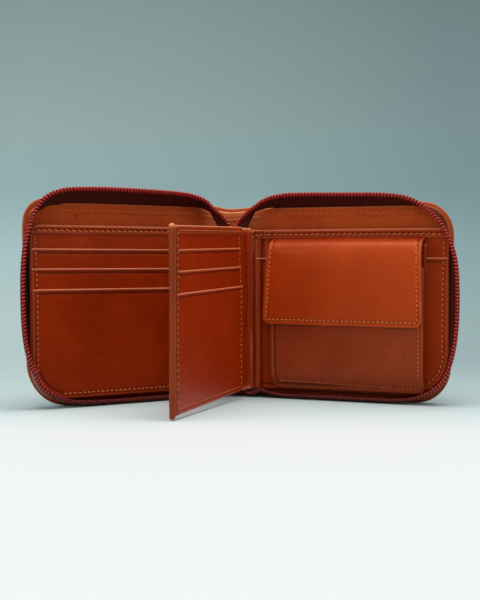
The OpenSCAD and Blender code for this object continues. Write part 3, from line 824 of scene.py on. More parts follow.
# ---------------------------------------------------------------- cover and lining
def shell(side):
    nm = "left" if side < 0 else "right"
    bend = bent(side, 5.0)
    dip = lambda u, z: z - (3.0 if side < 0 else 2.0) * step01(z, 70, 97) * bell(np.maximum(u + 14, 0), 12)
    B = lambda u, n, z: bend(taper(side, u, z), n, dip(*arr(u, z)))
    flipn = lambda u, n, z: B(u, -n, z)

    def outside(u, z, d):
        soft = 0.55 * step01(d, 1.5, 18) * step01(u, 2, 16)
        groove = -0.22 * bell(d - 2.4, 0.45)
        lip = 0.16 * bell(d - 0.9, 0.7)
        folds = -0.35 * bell(u + 2.5, 1.1) * (0.6 + 0.4 * wave(u, z, 4, 9, 3)) - 0.22 * bell(u - 2.6, 0.9)
        ripples = 0.12 * wave(u, z, 3.2, 26, 9) * bell(u, 7)
        return soft + groove + lip + 0.12 * wave(u, z, 24, 20, 5) * step01(d, 2, 12) + folds + ripples

    # n runs outwards here: front = outer face at n = +0.4
    rt, rb, ztop = (12.5, 22, 100.6) if side < 0 else (16.5, 18, 99.6)
    c = slab(nm + "_cover_skin", flipn, (-HALF, 104, 0, ztop), (0, 0, rb, rt), -1.0, 0.4, M_COVER, edge=0.75,
             bump=outside, slot="cover_leather", ulines=(-2.5, 2.6), joined=True)
    s, e = Vector(B(-6, 0, 50)), Vector(B(6, 0, 50))
    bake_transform(c)
    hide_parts(nm + "_cover")
    if side < 0:
        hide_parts("spine_cover")

    hem = 95.2 if side < 0 else 94.6
    top = 98.6 if side < 0 else 97.8

    def inside(u, z, d):
        fold = 0.28 * step01(z, hem - 2.0, hem - 1.4) - 0.2 * bell(z - hem, 0.4)
        wr = 0.52 * wave(u + z * 0.6, z - u * 0.2, 3.0, 2.2, 21, 3) * step01(u, 60, 88) * step01(z, 84, 88) * (side < 0)
        crease = 0.45 * wave(u * 1.4, z, 2.4, 14, 4) * bell(u + 8, 7)
        return fold + wr + crease + 0.12 * wave(u, z, 16, 12, 8)

    # the rub term pales the lining over the top of the spine: a painted highlight where the top lamp falls, added to
    # the edge wear
    l = slab(nm + "_lining_skin", B, (-HALF, 102.6, 1.2, top), (0, 0, rb - 1, rt - 1), 1.72, 2.32, M_LINING, edge=0.4,
             bump=inside, slot="lining", zlines=(hem, hem - 1.7), joined=True,
             rub_and_highlight=lambda u, z: 0.42 * bell(u + 8, 9) * step01(z, 82, 97))
    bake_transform(l)
    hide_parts(nm + "_lining")
    if side < 0:
        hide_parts("spine_lining")
    # hem stitching on the lining, and the seam all round the outside
    P = PL if side < 0 else PR
    stitches(nm + "_lining_stitches", P, [([(7, hem), (91, hem)], 2.5)], nm + "_half", tilt=7)
    pts = [(5, ztop - 2.4)] + arc_pts(104 - rt, ztop - rt, rt - 2.4, 90, 0) + arc_pts(104 - rb, rb, rb - 2.4, 0, -90) + [(5, 2.4)]
    stitches(nm + "_cover_stitches", B, [(pts, lambda u, z: -0.52)], nm + "_half", sign=-1, tilt=7)


shell(-1)
shell(1)


# ---------------------------------------------------------------- inner panels
LE, RE, PR_ = 103.2, 103.0, 20  # outer edges of the left and right panels, and their lower corner radius


def spine_side_panel(side):
    """Note-pocket panel: on its half it is flat, and across the spine it bows forward."""
    nm = "left" if side < 0 else "right"
    P = PL if side < 0 else PR
    top = 87.2 if side < 0 else 86.1
    uo = LE if side < 0 else RE
    # cross-section seen from above, from the middle of the spine outwards
    ends = P(9.0, 5.0, 0) / MM
    nxt = P(5.0, 5.0, 0) / MM
    if side < 0:
        ctrl = [(4.4, -11.2), (0, -11.3), (-5, -11.1), (-9.4, -9.9)]
    else:
        ctrl = [(3.6, -11.2), (5.6, -11.0), (7.0, -9.9), (8.6, -10.3), (10.4, -10.3), (11.6, -8.5), (13.2, -8.4)]
    line = ctrl + [tuple(nxt[:2]), tuple(ends[:2])]
    line = dense(line, 8)
    seg = np.hypot(*(line[1:] - line[:-1]).T)
    s = np.concatenate([[0], np.cumsum(seg)])
    total = s[-1]
    d = np.gradient(line, axis=0)
    d /= np.hypot(*d.T)[:, None]
    # inward normal (towards the viewer): left of travel on the left side, right of travel on the right
    nv = np.stack([-d[:, 1], d[:, 0]], -1) if side < 0 else np.stack([d[:, 1], -d[:, 0]], -1)
    u_join = 9.0
    u_start = u_join - total

    def place(u, n, z):
        u, n, z = arr(u, n, z)
        q = np.clip(u - u_start, 0, total)
        x = np.interp(q, s, line[:, 0]) + np.interp(q, s, nv[:, 0]) * (n - 5.0)
        y = np.interp(q, s, line[:, 1]) + np.interp(q, s, nv[:, 1]) * (n - 5.0)
        a = np.stack([x, y, z], -1) * MM
        return np.where((u >= u_join)[..., None], P(u, n, z), a)

    def bump(u, z, d):
        hemline = 84.9 if side < 0 else 83.6
        wr = (0.25 if side < 0 else 0.55) * wave(u * 1.5, z, 3.0, 26, 31 + side, 3) * (1 - step01(u, 4, 14))
        return 0.12 * wave(u, z, 22, 18, 12) + wr + 0.0 * hemline

    low = 4.4
    # paler ridge crests on the right: a painted highlight on the crests of the folds
    ridge = lambda u, z: 0.30 * np.clip(wave(u * 1.5, z, 3.0, 26, 31 + side, 3), 0, 1) * (1 - step01(u, 4, 12)) * (side > 0)
    o = slab(nm + "_note_skin", place, (u_start, uo, low, top), (0, 0, PR_, 5 if side < 0 else 4), 4.6, 5.38, M_PANEL,
             edge=0.45, bump=bump, slot="inner_leather", stepmm=2.0, joined=True, rub_and_highlight=ridge,
             ulines=[k * 2.2 - 9 for k in range(9)] if side > 0 else ())
    sp = place(u_join - 5.5, 5, 50)
    ep = P(u_join + 0.5, 5, 50)
    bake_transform(o)
    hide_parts(nm + "_note_panel")
    if side < 0:
        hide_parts("spine_panel")
    return place, u_start, bump


PLACE_L, US_L, _ = spine_side_panel(-1)
PLACE_R, US_R, _ = spine_side_panel(1)

def turned(top_z, w=1.35, amp=0.24, depth=0.16):
    """A folded top edge: a soft roll, then a heat-creased line under it."""
    def f(u, z, d):
        x = top_z - z
        roll = amp * (1 - step01(x, w * 0.5, w)) * step01(x, 0, 0.35)
        return roll - depth * bell(x - w - 0.15, 0.28)
    return f


def wavy(seed, amp=0.13, su=26, sz=16):
    return lambda u, z, d: amp * wave(u, z, su, sz, seed) * step01(d, 1, 10)


def addf(*fs):
    return lambda u, z, d: sum(f(u, z, d) for f in fs)


def seam(at, depth=0.22, w=0.5):
    return lambda u, z, d: -depth * bell(d - at, w)


# left half: hem and three card slots
slab("left_hem_skin", PL, (10.5, LE, 83.3, 87.4), (0, 0, 0.4, 4.6), 5.42, 6.15, M_PANEL, "left_half", edge=0.42,
     bump=lambda u, z, d: -0.30 * bell(z - 85.15, 0.5) + 0.16 * bell(z - 86.5, 0.5) + 0.12 * bell(z - 83.9, 0.4), zlines=(85.1,))
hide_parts("left_hem")
for i, (zt, nb, nf) in enumerate(((76.2, 5.45, 6.15), (66.7, 6.2, 6.9), (56.8, 6.95, 7.75)), 1):
    o = slab(f"left_slot_{i}_skin", PL, (10.5, LE - 0.1 * i, 4.2, zt), (0, 0, PR_, 0.9), nb, nf, M_PANEL, "left_half", edge=0.4,
             bump=addf(turned(zt), wavy(40 + i), seam(2.3)), zlines=(zt - 1.4,))
    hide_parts(f"left_slot_{i}")

left_n = lambda u, z: 6.15 if z > 83 else (5.4 if z > 76.2 else (6.15 if z > 66.7 else (6.9 if z > 56.8 else 7.75)))
side_line, foot_line = [(LE - 2.5, 82.5), (LE - 2.9, 17)], [(87, 6.5), (14, 6.5)]
stitches("left_hem_stitches", PL, [([(13, 84.75), (100.5, 84.75)], 6.16)], "left_half", dia=0.72, length=2.7, pitch=3.05, tilt=17, proud=0.42)
stitches("left_panel_stitches", PL, [(side_line, lambda u, z: left_n(u, z) - 0.04), (foot_line, lambda u, z: left_n(u, z) - 0.04)],
         "left_half", dia=0.66, length=1.95, pitch=2.5, tilt=14, proud=0.40)

# ---------------------------------------------------------------- right half
BLEND_R = (tuple(PLACE_R(3.5, 5, 50)), tuple(PR(9.5, 5, 50)))
o = slab("right_hem_skin", PLACE_R, (-3.4, RE, 81.6, 86.3), (0, 0, 0.4, 4.0), 5.42, 6.15, M_PANEL, edge=0.42,
         bump=lambda u, z, d: -0.30 * bell(z - 83.95, 0.5) + 0.16 * bell(z - 85.3, 0.6) + 0.1 * bell(z - 82.4, 0.5), zlines=(83.9,))
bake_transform(o)
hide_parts("right_hem")
o = slab("right_card_skin", PLACE_R, (0.4, RE - 0.3, 4.2, 71.9), (0, 0, PR_, 0.9), 5.45, 6.05, M_PANEL, edge=0.4,
         bump=addf(turned(71.9), wavy(51), seam(2.3), lambda u, z, d: 0.42 * bell(u - 1.9, 0.55) + 0.2 * bell(u - 5.2, 0.8)), zlines=(70.5,))
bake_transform(o)
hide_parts("right_card_pocket")

# coin pocket: back, folded gusset, puffed front
CU0, CU1 = 11.6, 92.4
o = slab("coin_back_skin", PR, (CU0 + 0.6, CU1 - 0.4, 5.6, 78.8), (3, 0, 3, 0.8), 6.2, 6.72, M_PANEL, "right_half", edge=0.25,
         bump=wavy(61, 0.06))
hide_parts("coin_back")


def coin_place(u, n, z):
    u, n, z = arr(u, n, z)
    # the front comes back to the panel along the sewn bottom, and its left edge leans in towards the foot
    drop = 1 - step01(z, 4.0, 17.0)
    n2 = n - 3.6 * drop ** 1.6
    lean = 0.7 * np.clip((38 - z) / 31, -0.3, 1) * np.clip(1 - (u - CU0) / 40, 0, 1)
    return PR(u + lean, n2, z)


def coin_bump(u, z, d):
    puff = 0.75 * np.sin(np.clip((u - CU0) / (CU1 - CU0), 0, 1) * math.pi) ** 0.8 * step01(z, 5, 26)
    dent = -0.55 * bell(u - 33, 15) * bell(z - 27, 15) + 0.35 * bell(u - 64, 16) * bell(z - 20, 10)
    return puff + dent + 0.16 * wave(u, z, 15, 11, 71, 3) * step01(d, 2, 8) - 0.24 * bell(d - 2.3, 0.5)


o = slab("coin_front_skin", coin_place, (CU0, CU1, 5.4, 66.8), (3, 0.8, 2.2, 0.8), 12.4, 13.1, M_COIN, "right_half", edge=0.42,
         bump=coin_bump)
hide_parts("coin_front")


def coin_gusset():
    """Pleated strip round the sides and foot of the pocket."""
    pts = [(CU0 + 0.9, 66.4), (CU0 + 0.9, 50), (CU0 + 0.9, 36), (CU0 + 1.2, 20), (CU0 + 1.5, 10), (CU0 + 4, 6.2), (CU0 + 11, 5.7), (40, 5.6),
           (60, 5.7), (76, 5.8)]
    pts += arc_pts(CU1 - 3.2, 8.4, 2.6, -90, 0, 6)[1:] + [(CU1 - 0.6, 18), (CU1 - 0.6, 30), (CU1 - 0.6, 48), (CU1 - 0.6, 66.4)]
    path = dense(np.array(pts), 5)
    nr = path_normals(path)  # points to the right of travel is outside here
    k = np.linspace(0, 1, 13)
    depth = 3.4 * np.sin(k * math.pi) ** 0.9
    rows = []
    for i, (pu, pz) in enumerate(path):
        top = 12.55 - 3.6 * (1 - step01(np.array(pz), 4.0, 17.0)) ** 1.6
        nn = 6.75 + (top - 6.75) * k
        shrink = (top - 6.75) / 5.8
        rows.append([(pu + nr[i][0] * depth[j] * shrink, nn[j], pz + nr[i][1] * depth[j] * shrink) for j in range(13)])
    R = np.array(rows)
    # thickness
    S = PR(R[..., 0], R[..., 1], R[..., 2])
    along, across = np.gradient(S, axis=0), np.gradient(S, axis=1)
    nn = np.cross(along, across)
    nn /= np.linalg.norm(nn, axis=2)[:, :, None] + 1e-12
    P = np.concatenate([S + nn * 0.2 * MM, (S - nn * 0.2 * MM)[:, ::-1]], 1)
    g = grid("coin_gusset_fold", P, M_PANEL, "right_half", closed=True, caps=True)
    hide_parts("coin_gusset")


coin_gusset()

right_n = lambda u, z: 6.15 if z > 81.6 else (5.4 if z > 71.3 else 6.05)
cor = arc_pts(RE - 0.3 - PR_, 4.2 + PR_, PR_ - 2.3, 0, -90)
stitches("right_panel_stitches", PR, [
    ([(RE - 2.6, 80.5), (RE - 2.9, 25)] + cor + [(20, 6.5)], lambda u, z: right_n(u, z) - 0.08)], "right_half", dia=0.66, length=1.95, pitch=2.5, tilt=14, proud=0.40)
stitches("right_hem_stitches", PR, [([(10, 83.75), (100, 83.5)], 6.14)], "right_half", dia=0.72, length=2.55, pitch=2.85, tilt=17, proud=0.42)
o = stitches("right_hem_stitches_root", PLACE_R, [([(-2.0, 83.75), (9.4, 83.75)], 6.14)], None, dia=0.72, length=2.55, pitch=2.85, tilt=17,
             proud=0.42)
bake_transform(o)
pts = [(CU1 - 2.3, 64), (CU1 - 2.3, 9.2)] + arc_pts(CU1 - 3.6, 9.0, 1.3, 0, -90, 4) + [(60, 8.2), (CU0 + 4, 9.3)]
stitches("coin_stitches", coin_place, [(pts, 13.0), ([(CU0 + 1.3, 50), (CU0 + 1.3, 12)], 12.75)], "right_half", dia=0.5, length=1.6, pitch=2.1)

# ---------------------------------------------------------------- flap
FL = np.array([(6.35, 81.0), (8.6, 80.9), (11.4, 79.6), (13.6, 76.6), (14.45, 72.0), (14.75, 66), (14.8, 58), (14.7, 48), (14.55, 38.2)])
FLD = dense(FL, 10)
FLS = np.concatenate([[0], np.cumsum(np.hypot(*(FLD[1:] - FLD[:-1]).T))])
FLL = FLS[-1]
FT = np.gradient(FLD, axis=0)
FT /= np.hypot(*FT.T)[:, None]
FN = np.stack([-FT[:, 1], FT[:, 0]], -1)
FU0, FU1 = 9.5, 92.2


def flap_place(u, n, w):
    """w runs up the flap from its foot (0) to its root (FLL)."""
    u, n, w = arr(u, n, w)
    q = np.clip(FLL - w, 0, FLL)
    nn = np.interp(q, FLS, FLD[:, 0]) + np.interp(q, FLS, FN[:, 0]) * n
    zz = np.interp(q, FLS, FLD[:, 1]) + np.interp(q, FLS, FN[:, 1]) * n
    f = np.clip((u - FU0) / (FU1 - FU0), 0, 1)
    k = np.clip(q / FLL, 0, 1)
    uu = u + (1 - f) * (1.8 - 3.4 * k) + f * (-0.6 + 0.9 * k)
    zz = zz - 0.9 * f * k * 0.6
    return PR(uu, nn, zz)


def flap_bump(u, w, d):
    f = np.clip((u - FU0) / (FU1 - FU0), 0, 1)
    puff = 0.75 * np.sin(f * math.pi) ** 0.7 * step01(w, 0, 16) * (1 - step01(w, FLL - 9, FLL))
    lines_ = 0.22 * wave(u + w * 0.5, w, 6, 2.4, 83, 3) * bell(w - (FLL - 12), 7) * bell(u - 20, 16)
    return puff + 0.20 * wave(u, w, 20, 13, 81) * step01(d, 2, 9) + lines_ - 0.28 * bell(d - 2.4, 0.55) + 0.10 * bell(d - 1.0, 0.6)


# FN points away from the pocket when it is negative, so the outer face is found by sign
sgn = 1.0 if FN[len(FN) // 2][0] > 0 else -1.0
outer = lambda u, n, w: flap_place(u, sgn * n, w)
FLAP_BEND = (tuple(PR(50, 6.6, 80.6)), tuple(PR(50, 12.2, 80.6)))
CUT = FLL - 7.2
ALONG = tuple(PR(1, 0, 0) - PR(0, 0, 0))


def draws_in(o):
    """Gives the piece its own copy of its mesh."""
    tuple(PR(FU1, 12, 50))
    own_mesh(o)


def flap_sheet(name, du, lift, radii, n0, n1, mat, node_name, **kw):
    """One sheet in two pieces: the sewn root stays in place, the rest turns with the flap."""
    main = slab(name, outer, (FU0 + du, FU1 - du, du, CUT), radii, n0, n1, mat, "flap", past=(0, 60), **kw)
    root = slab(name + "_root", outer, (FU0 + du, FU1 - du, CUT, FLL - lift), (0, radii[1], 0, radii[3]), n0, n1, mat,
                past=(60, 60), **kw)
    for o in (main, root):
        o.data.set_sharp_from_angle(angle=math.radians(60))
    draws_in(main)
    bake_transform(root)
    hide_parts(node_name)


flap_sheet("flap_skin", 0, 0, (4.2, 0.3, 4.2, 0.3), -0.1, 0.62, M_FLAP, "flap_outer", edge=0.5, bump=flap_bump)
flap_sheet("flap_lining_skin", 0.5, 0.3, (3.8, 0.3, 3.8, 0.3), -0.52, -0.12, M_PANEL, "flap_lining", edge=0.25)
pts = [(FU0 + 2.4, FLL - 6), (FU0 + 2.4, 4.4)] + arc_pts(FU0 + 4.2, 4.2, 1.8, 180, 270, 5) + \
    arc_pts(FU1 - 4.2, 4.2, 1.8, 270, 360, 5) + [(FU1 - 2.4, 4.4), (FU1 - 2.4, FLL - 6)]
o = stitches("flap_stitches", outer, [(pts, lambda u, w: 0.60)], "flap", dia=0.68, length=1.75, pitch=2.25, tilt=16, proud=0.42)
draws_in(o)


# ---------------------------------------------------------------- centre leaf
LV1 = 94.6
lw = lambda seed: (lambda u, z, d: 0.16 * wave(u, z, 22, 14, seed) * step01(d, 1, 9))
o = slab("leaf_core_skin", PF, (3.0, LV1, 3.2, 86.5), (0.5, 0.5, 1, 1), -0.4, 0.4, M_LEAF, "leaf", edge=0.35)
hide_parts("leaf_core")
o = slab("leaf_hem_skin", PF, (3.4, LV1, 82.9, 86.7), (0.4, 0.4, 0.6, 0.6), 0.43, 1.12, M_LEAF, "leaf", edge=0.4,
         bump=lambda u, z, d: -0.18 * bell(z - 84.4, 0.4) + 0.1 * bell(z - 86, 0.5), zlines=(84.4,))
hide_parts("leaf_hem")
for i, (zt, nb, nf, ve) in enumerate(((76.1, 0.43, 0.80, 5.6), (66.6, 0.82, 1.16, 4.8), (56.7, 1.18, 1.58, 4.0)), 1):
    def irregular(vs):
        # the inner ends of the pockets step and wave a little, as turned leather does
        def pl(v, m, z):
            v, m, z = arr(v, m, z)
            k = np.clip(1 - (v - vs) / 12, 0, 1)
            return PF(v + k * (0.5 * wave(z * 0 + 3, z, 9, 12, 90 + i) + 0.25 * np.sin(z / 5.2)), m, z)
        return pl
    o = slab(f"leaf_slot_{i}_skin", irregular(ve), (ve, LV1 - 0.2, 3.3, zt), (0.8, 0.8, 0.8, 0.8), nb, nf, M_LEAF, "leaf", edge=0.3,
             bump=addf(turned(zt, amp=0.22), lw(100 + i), lambda u, z, d: -0.14 * bell(d - 2.0, 0.4)), zlines=(zt - 1.4,))
    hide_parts(f"leaf_slot_{i}")
o = slab("leaf_rear_skin", lambda v, m, z: PF(v, -m, z), (5.0, LV1, 3.3, 72), (0.8, 0.8, 0.8, 0.8), 0.43, 1.02, M_LEAF, "leaf", edge=0.35,
         bump=addf(turned(72, amp=0.25), lw(121), lambda u, z, d: -0.16 * bell(d - 2.2, 0.45)), zlines=(70.6,))
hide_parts("leaf_rear_pocket")
o = slab("leaf_rear_hem", lambda v, m, z: PF(v, -m, z), (4.0, LV1, 82.9, 86.7), (0.4, 0.4, 0.6, 0.6), 0.43, 1.0, M_LEAF, "leaf", edge=0.4,
         bump=lambda u, z, d: -0.18 * bell(z - 84.6, 0.4), zlines=(84.6,))


def leaf_binding():
    """The rolled and sewn free edge, a touch fuller at the head."""
    zs = np.concatenate([[1.9, 2.0, 2.3, 2.8], np.linspace(3.6, 85.2, 60), [86.2, 86.9, 87.35, 87.5]])
    ang = np.arange(20) / 20 * 2 * math.pi
    rows = []
    for z in zs:
        e = min(1, math.sqrt(max(0.02, 1 - max(0, (z - 85.6) / 1.95) ** 2)), math.sqrt(max(0.05, 1 - max(0, (3.0 - z) / 1.25) ** 2)))
        full = 1 + 0.06 * math.sin(z * 0.9) * math.sin(z * 0.23) + (0.22 if z > 82 else 0.22 * max(0, (z - 78) / 4))
        a = 1.7 * e * full
        b = 1.28 * e * full
        c = 95.55 + 0.15 * math.sin(z * 0.11)
        rows.append(PF(c + a * np.cos(ang), 0.12 + b * np.sin(ang), np.full(20, z)))
    P = np.array(rows)
    # binding: slight edge wear along its length, rising to a painted highlight at its head, which faces the lamp above
    g = grid("leaf_binding", P, M_BIND, "leaf", closed=True, caps=True, attrs={"wear_and_highlight": np.repeat(0.06 + 0.8 * step01(zs, 85.6, 87.2), 20)})
    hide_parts("leaf_edge")
    # flat of the binding on the slot side
    slab("leaf_binding_flat", PF, (91.4, 95.6, 3.2, 86.4), (0.4, 0.4, 0.4, 0.4), 1.0, 1.72, M_BIND, "leaf", edge=0.35,
         bump=lambda u, z, d: -0.16 * bell(u - 92.8, 0.35) + 0.12 * bell(u - 94.4, 0.8))
    slab("leaf_binding_back", lambda v, m, z: PF(v, -m, z), (91.6, 95.6, 3.2, 86.4), (0.4, 0.4, 0.4, 0.4), 0.7, 1.25, M_BIND, "leaf", edge=0.35,
         bump=lambda u, z, d: -0.16 * bell(u - 92.9, 0.35))


leaf_binding()
leaf_n = lambda v, z: 1.1 if z > 82.9 else (0.42 if z > 76.1 else (0.8 if z > 66.6 else (1.16 if z > 56.7 else 1.58)))
stitches("leaf_stitches", PF, [
    ([(92.8, 84.5), (92.8, 5)], 1.62),
    ([(90.5, 84.4), (6, 84.4)], 1.06),
    ([(90.5, 5.6), (7, 5.4)], lambda v, z: 1.5),
    ([(6.9, 82.5), (6.9, 6)], lambda v, z: leaf_n(v, z) - 0.04)], "leaf", dia=0.46, length=2.0, pitch=2.7)
stitches("leaf_rear_stitches", lambda v, m, z: PF(v, -m, z), [
    ([(92.9, 84.5), (92.9, 5)], 1.15), ([(90.5, 84.6), (6, 84.6)], 0.95), ([(90.5, 5.6), (7, 5.6)], 0.95)], "leaf", dia=0.46, length=2.0, pitch=2.7)


# ---------------------------------------------------------------- hinge strip between the leaf and the spine
def hinge_leather():
    """Soft fold: from the spine panel forward to the leaf's root, one bellows across three short joints."""
    # piece 1: leaf root to leaf
    zz = np.concatenate([[4.2, 4.4, 4.8], np.linspace(5.6, 85.2, 46), [86.2, 86.9, 87.2]])
    base = lambda pts: dense(np.array(pts, float), 6)

    def strip(name, line, thick, wr, seed, mat=M_LEAF, lean=0.0):
        ln = base(line)
        d = np.gradient(ln, axis=0)
        d /= np.hypot(*d.T)[:, None]
        nv = np.stack([-d[:, 1], d[:, 0]], -1)
        rows = []
        for z in zz:
            e = math.sqrt(max(0.03, 1 - max(0, (z - 86.2) / 1.05) ** 2)) * math.sqrt(max(0.05, 1 - max(0, (5.2 - z) / 1.1) ** 2))
            k = np.arange(len(ln))
            w = wr * wave(k * 0.9, np.full(len(k), z), 3.1, 17, seed, 3) * np.sin(np.pi * k / (len(k) - 1))
            A = ln + nv * (w + thick / 2 * e)[:, None]
            Bk = ln + nv * (w - thick / 2 * e)[:, None]
            ring = np.concatenate([A, Bk[::-1]])
            rows.append(np.stack([ring[:, 0], ring[:, 1], np.full(len(ring), z + lean)], -1) * MM)
        P = np.array(rows)
        wearv = np.repeat(np.exp(-np.minimum(np.abs(zz - 87.2), np.abs(zz - 4.2)) / 0.8), P.shape[1])
        return grid(name, P, mat, None, closed=True, caps=True, attrs={"wear_and_highlight": wearv})

    c, s = math.cos(LEAF_A), math.sin(LEAF_A)
    at = lambda v, m: (LEAF_P[0] + v * c - m * s, LEAF_P[1] + v * s + m * c)
    a = strip("leaf_root_fold", [at(-1.3, 0.1), at(0.2, 0.35), at(1.6, 0.1), at(3.2, -0.15), at(4.6, 0.0), at(6.0, 0.0)], 1.0, 0.30, 200)
    tuple(PF(0.6, 0, 45))
    tuple(PF(4.6, 0, 45))
    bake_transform(a)
    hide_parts("leaf_tab")
    b = strip("hinge_fold", [at(0.6, -0.3), at(-0.9, 0.4), (6.0, -13.6), (6.35, -12.7), (5.2, -12.2), (3.9, -12.4)], 0.95, 0.25, 210)
    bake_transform(b)
    d_ = strip("spine_bellows", [(3.8, -12.3), (5.5, -12.15), (6.3, -11.9), (7.2, -11.0), (8.0, -10.6), (9.2, -10.9)], 0.8, 0.28, 220)
    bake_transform(d_)
    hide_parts("leaf_gusset")


hinge_leather()


# ---------------------------------------------------------------- zip tails beside the spine
def tails():
    for side in (-1, 1):
        P = PL if side < 0 else PR
        nm = "left" if side < 0 else "right"
        COIL, ROOT = COILS[side], ROOTS[side]
        for top in (True, False):
            nrm = path_normals(COIL)
            C2 = COIL - nrm * 1.2
            i0 = 3 if top else len(C2) - 4
            # loop end, in the row frame
            e0 = P(C2[i0][0], 12.1, C2[i0][1]) / MM
            e1 = P(C2[0 if top else -1][0], 12.1, C2[0 if top else -1][1]) / MM
            flip = (lambda z: z) if top else (lambda z: ZIP_H - z)
            pts = [tuple(e0), tuple(e1), (side * 9.6, -11.6, flip(96.9)), (side * 6.9, -9.9, flip(94.6)), (side * 4.2, -9.0, flip(92.0)),
                   (side * 2.3, -8.8, flip(89.2))]
            if not top and side > 0:
                pts[2:5] = [(10.2, -12.0, 2.1), (7.2, -10.4, 2.4), (4.8, -9.0, 6.5)]
            if top:
                pts += [(side * 1.45, -8.8, 86.2), (side * 1.2, -8.8, 83.0), (side * 1.2, -8.8, 76.0), (side * 1.2, -8.8, 66.4)]
            else:
                pts += [(side * 2.7, -8.8, flip(84.2))]
            line = dense(np.array(pts), 8)
            t = np.gradient(line, axis=0)
            t /= np.linalg.norm(t, axis=1)[:, None]
            # side direction turns from the half's own n towards straight ahead
            n_half = (P(0, 1, 0) - P(0, 0, 0)) / MM
            k = np.clip(np.linspace(0, 2.0, len(line)), 0, 1)[:, None]
            sv = n_half[None] * (1 - k) + np.array([[0, -1.0, 0]]) * k
            sv = sv - t * np.sum(sv * t, 1)[:, None]
            sv /= np.linalg.norm(sv, axis=1)[:, None]
            ov = np.cross(sv, t)
            w = 0.38
            width = 1.5 - 0.4 * k[:, 0]
            ang = np.arange(12) / 12 * 2 * math.pi
            core = line[:, None, :] + sv[:, None, :] * (np.cos(ang)[None] * 0.85)[..., None] + ov[:, None, :] * (np.sin(ang)[None] * 0.6)[..., None]
            tag = f"{nm}_{'top' if top else 'foot'}"
            g = grid(f"{tag}_tail_core", core * MM, M_CORE, None, closed=True, caps=True)
            h = helix(f"{tag}_tail_teeth", line * MM, sv, ov, 1.1 * MM, 0.74 * MM, 1.72 * MM, w * MM, M_COIL, None)
            s_, e_ = (np.array([side * 6.5, -9.8, flip(94)]) * MM, e1 * MM)
            for q in (g, h):
                tuple(s_)
                tuple(e_)
                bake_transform(q)
            if top:
                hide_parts(f"zip_tail_coil_{nm}")
            # tape beside the tail, tucked between panel and lining
            out_pts = [tuple(P(ROOT[i0][0], 2.0, ROOT[i0][1]) / MM), tuple(P(ROOT[0 if top else -1][0] - 1.0, 2.6, ROOT[0 if top else -1][1]) / MM),
                       (side * 12.2, -4.6, flip(96.2)), (side * 10.4, -5.8, flip(93.4)), (side * 8.9, -7.5, flip(90.4)), (side * 7.8, -8.7, flip(87.6))]
            if top:
                out_pts += [(side * 7.5, -8.8, 84.0), (side * 7.4, -8.8, 78.0), (side * 7.4, -8.8, 72.0), (side * 7.4, -8.8, 66.4)]
            else:
                out_pts += [(side * 7.6, -8.7, flip(84.2))]
            A = dense(np.array(out_pts), 8)
            tp = sweep_flat(f"{tag}_tail_tape", A * MM, (line + (A - line) * 0.06) * MM, 0.6 * MM, M_TAPE, None)
            tuple(s_)
            tuple(e_)
            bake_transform(tp)
            if top and side < 0:
                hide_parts("zip_tail_tape")


tails()

# ---------------------------------------------------------------- sewn foot of the note compartment
def foot_strip(name, place, u0, u1, n0, n1, z, body, cols=40):
    """Turned-in leather that closes the compartment from below, with a slight sag."""
    u = np.linspace(u0, u1, cols)
    k = np.linspace(0, 1, 7)
    U, K = np.meshgrid(u, k, indexing="ij")
    Z = z - 0.55 * np.sin(K * math.pi) + 0.12 * wave(U, K * 6, 6, 3, 301)
    top = place(U, n0 + (n1 - n0) * K, Z)
    low = place(U, n0 + (n1 - n0) * K, Z - 0.5)
    P = np.concatenate([top, low[:, ::-1]], 1)
    return grid(name, P, M_LINING, body, closed=True, caps=True)


foot_strip("left_note_foot", PL, 3.0, 82, 2.15, 4.85, 5.4, "left_half")
foot_strip("right_note_foot", PR, 3.0, 82, 2.15, 4.85, 5.4, "right_half")
foot_strip("spine_note_foot", lambda u, n, z: np.stack([*arr(u, -n, z)], -1) * MM, -8.3, 8.3, 1.9, 8.0, 10.0, "spine", 16)

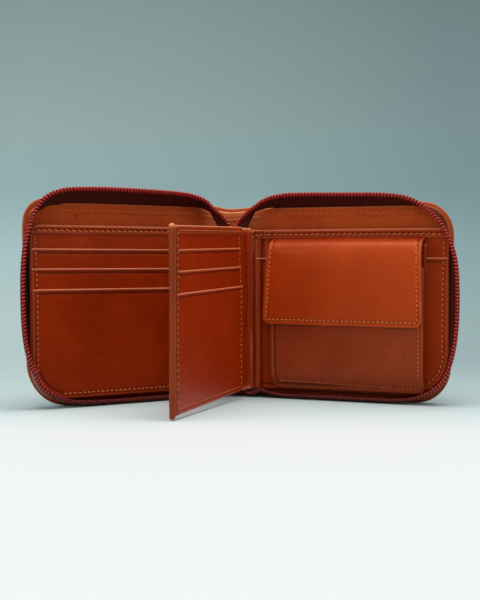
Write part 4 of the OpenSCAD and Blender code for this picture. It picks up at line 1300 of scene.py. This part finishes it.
# ---------------------------------------------------------------- stage, light and camera
def backdrop():
    """Pale floor that rises in a wide sweep behind the object, with a painted light fall-off in its colour."""
    prof = [(-12.0, 0.0), (-6.0, 0.0), (-3.0, 0.0), (-1.6, 0.0), (-0.9, 0.0), (-0.45, 0.0), (-0.15, 0.0), (0.05, 0.0), (0.22, 0.0)]
    R = 0.55
    for k in range(1, 13):
        a = k / 12 * math.pi / 2
        prof.append((0.22 + R * math.sin(a), R * (1 - math.cos(a))))
    prof += [(0.22 + R, 0.8), (0.22 + R, 1.2), (0.22 + R, 2.2)]
    xs = np.concatenate([[-9.0, -5.0], np.linspace(-2.2, 2.2, 23), [5.0, 9.0]])
    P = np.array([[(x, y, z) for x in xs] for y, z in prof])
    m, nt, b = new_mat("studio_sweep")
    co = node(nt, "ShaderNodeTexCoord").outputs["Object"]
    sep = node(nt, "ShaderNodeSeparateXYZ")
    nt.links.new(co, sep.inputs[0])
    # painted light fall-off: pale near the object, cooler and darker up the sweep
    t = mathn(nt, "ADD", mathn(nt, "MULTIPLY", sep.outputs[1], 1.0), mathn(nt, "MULTIPLY", sep.outputs[2], 1.6))
    n = noise_tex(nt, co, 3.0, 2)
    t = mathn(nt, "ADD", t, mathn(nt, "MULTIPLY", n, 0.05))
    f = mathn(nt, "MULTIPLY", mathn(nt, "ADD", t, 0.1), 0.62, True)
    col = ramp(nt, f, SWEEP_FALLOFF_RAMP)
    # painted shade: darker towards the right and towards the back
    g = mathn(nt, "ADD", mathn(nt, "MULTIPLY", sep.outputs[0], 2.2), 0.5, True)
    far = mathn(nt, "MULTIPLY", mathn(nt, "ADD", sep.outputs[1], 0.15), 3.2, True)
    col = mixc(nt, mathn(nt, "MULTIPLY", g, far), col, (0.64, 0.68, 0.70), "MULTIPLY")
    nt.links.new(col, b.inputs["Base Color"])
    b.inputs["Roughness"].default_value = 0.6
    b.inputs["Specular IOR Level"].default_value = 0.2
    o = grid("studio_floor", P, m)
    return o


# colour stops up the sweep: painted light fall-off from near white by the object to darker grey-blue higher up
SWEEP_FALLOFF_RAMP = [(0.0, (0.66, 0.685, 0.680)), (0.012, (0.61, 0.680, 0.682)), (0.05, (0.51, 0.610, 0.608)), (0.153, (0.460, 0.570, 0.566)),
         (0.273, (0.450, 0.568, 0.560)), (0.353, (0.432, 0.550, 0.540)), (0.477, (0.360, 0.490, 0.500)), (0.586, (0.272, 0.382, 0.390)),
         (0.688, (0.276, 0.374, 0.370)), (0.787, (0.250, 0.338, 0.332)), (0.90, (0.216, 0.296, 0.290))]
backdrop()


def area(name, loc, target, size, power, color=(1, 1, 1), size_y=None, spread_=None):
    d = bpy.data.lights.new(name, "AREA")
    d.shape = "RECTANGLE"
    d.size = size
    d.size_y = size_y or size
    d.energy = power
    d.color = color
    if spread_:
        d.spread = math.radians(spread_)
    o = bpy.data.objects.new(name, d)
    o.location = loc
    o.rotation_euler = (Vector(target) - Vector(loc)).to_track_quat("-Z", "Y").to_euler()
    scene.collection.objects.link(o)
    return o


area("top_soft", (0.05, -0.18, 0.95), (0, -0.05, 0.0), 0.9, 10.5, (1.0, 0.99, 0.97), 0.7)
area("front_soft", (-0.25, -1.35, 0.75), (0, 0, 0.03), 0.9, 6.8, (1.0, 0.98, 0.96), 0.6)
area("left_fill", (-1.1, -0.5, 0.45), (0, 0, 0.05), 0.6, 4.2, (0.95, 0.97, 1.0))
area("right_fill", (1.1, -0.5, 0.5), (0, 0, 0.05), 0.6, 4.0, (0.97, 0.98, 1.0))
world = bpy.data.worlds.new("studio_air")
scene.world = world
world.use_nodes = True
world.node_tree.nodes["Background"].inputs[0].default_value = (0.80, 0.90, 0.92, 1)
world.node_tree.nodes["Background"].inputs[1].default_value = 0.16
scene.view_settings.view_transform = "Standard"
scene.view_settings.look = "None"

cam_d = bpy.data.cameras.new("camera")
cam_d.sensor_width = 36
cam_d.lens = 72.46
cam_d.clip_start = 0.01
cam_d.clip_end = 20
cam = bpy.data.objects.new("camera", cam_d)
cam.location = (0.003748, -0.63395, 0.069672)
cam.rotation_euler = (math.radians(88.206), 0, 0)
scene.collection.objects.link(cam)
scene.camera = cam
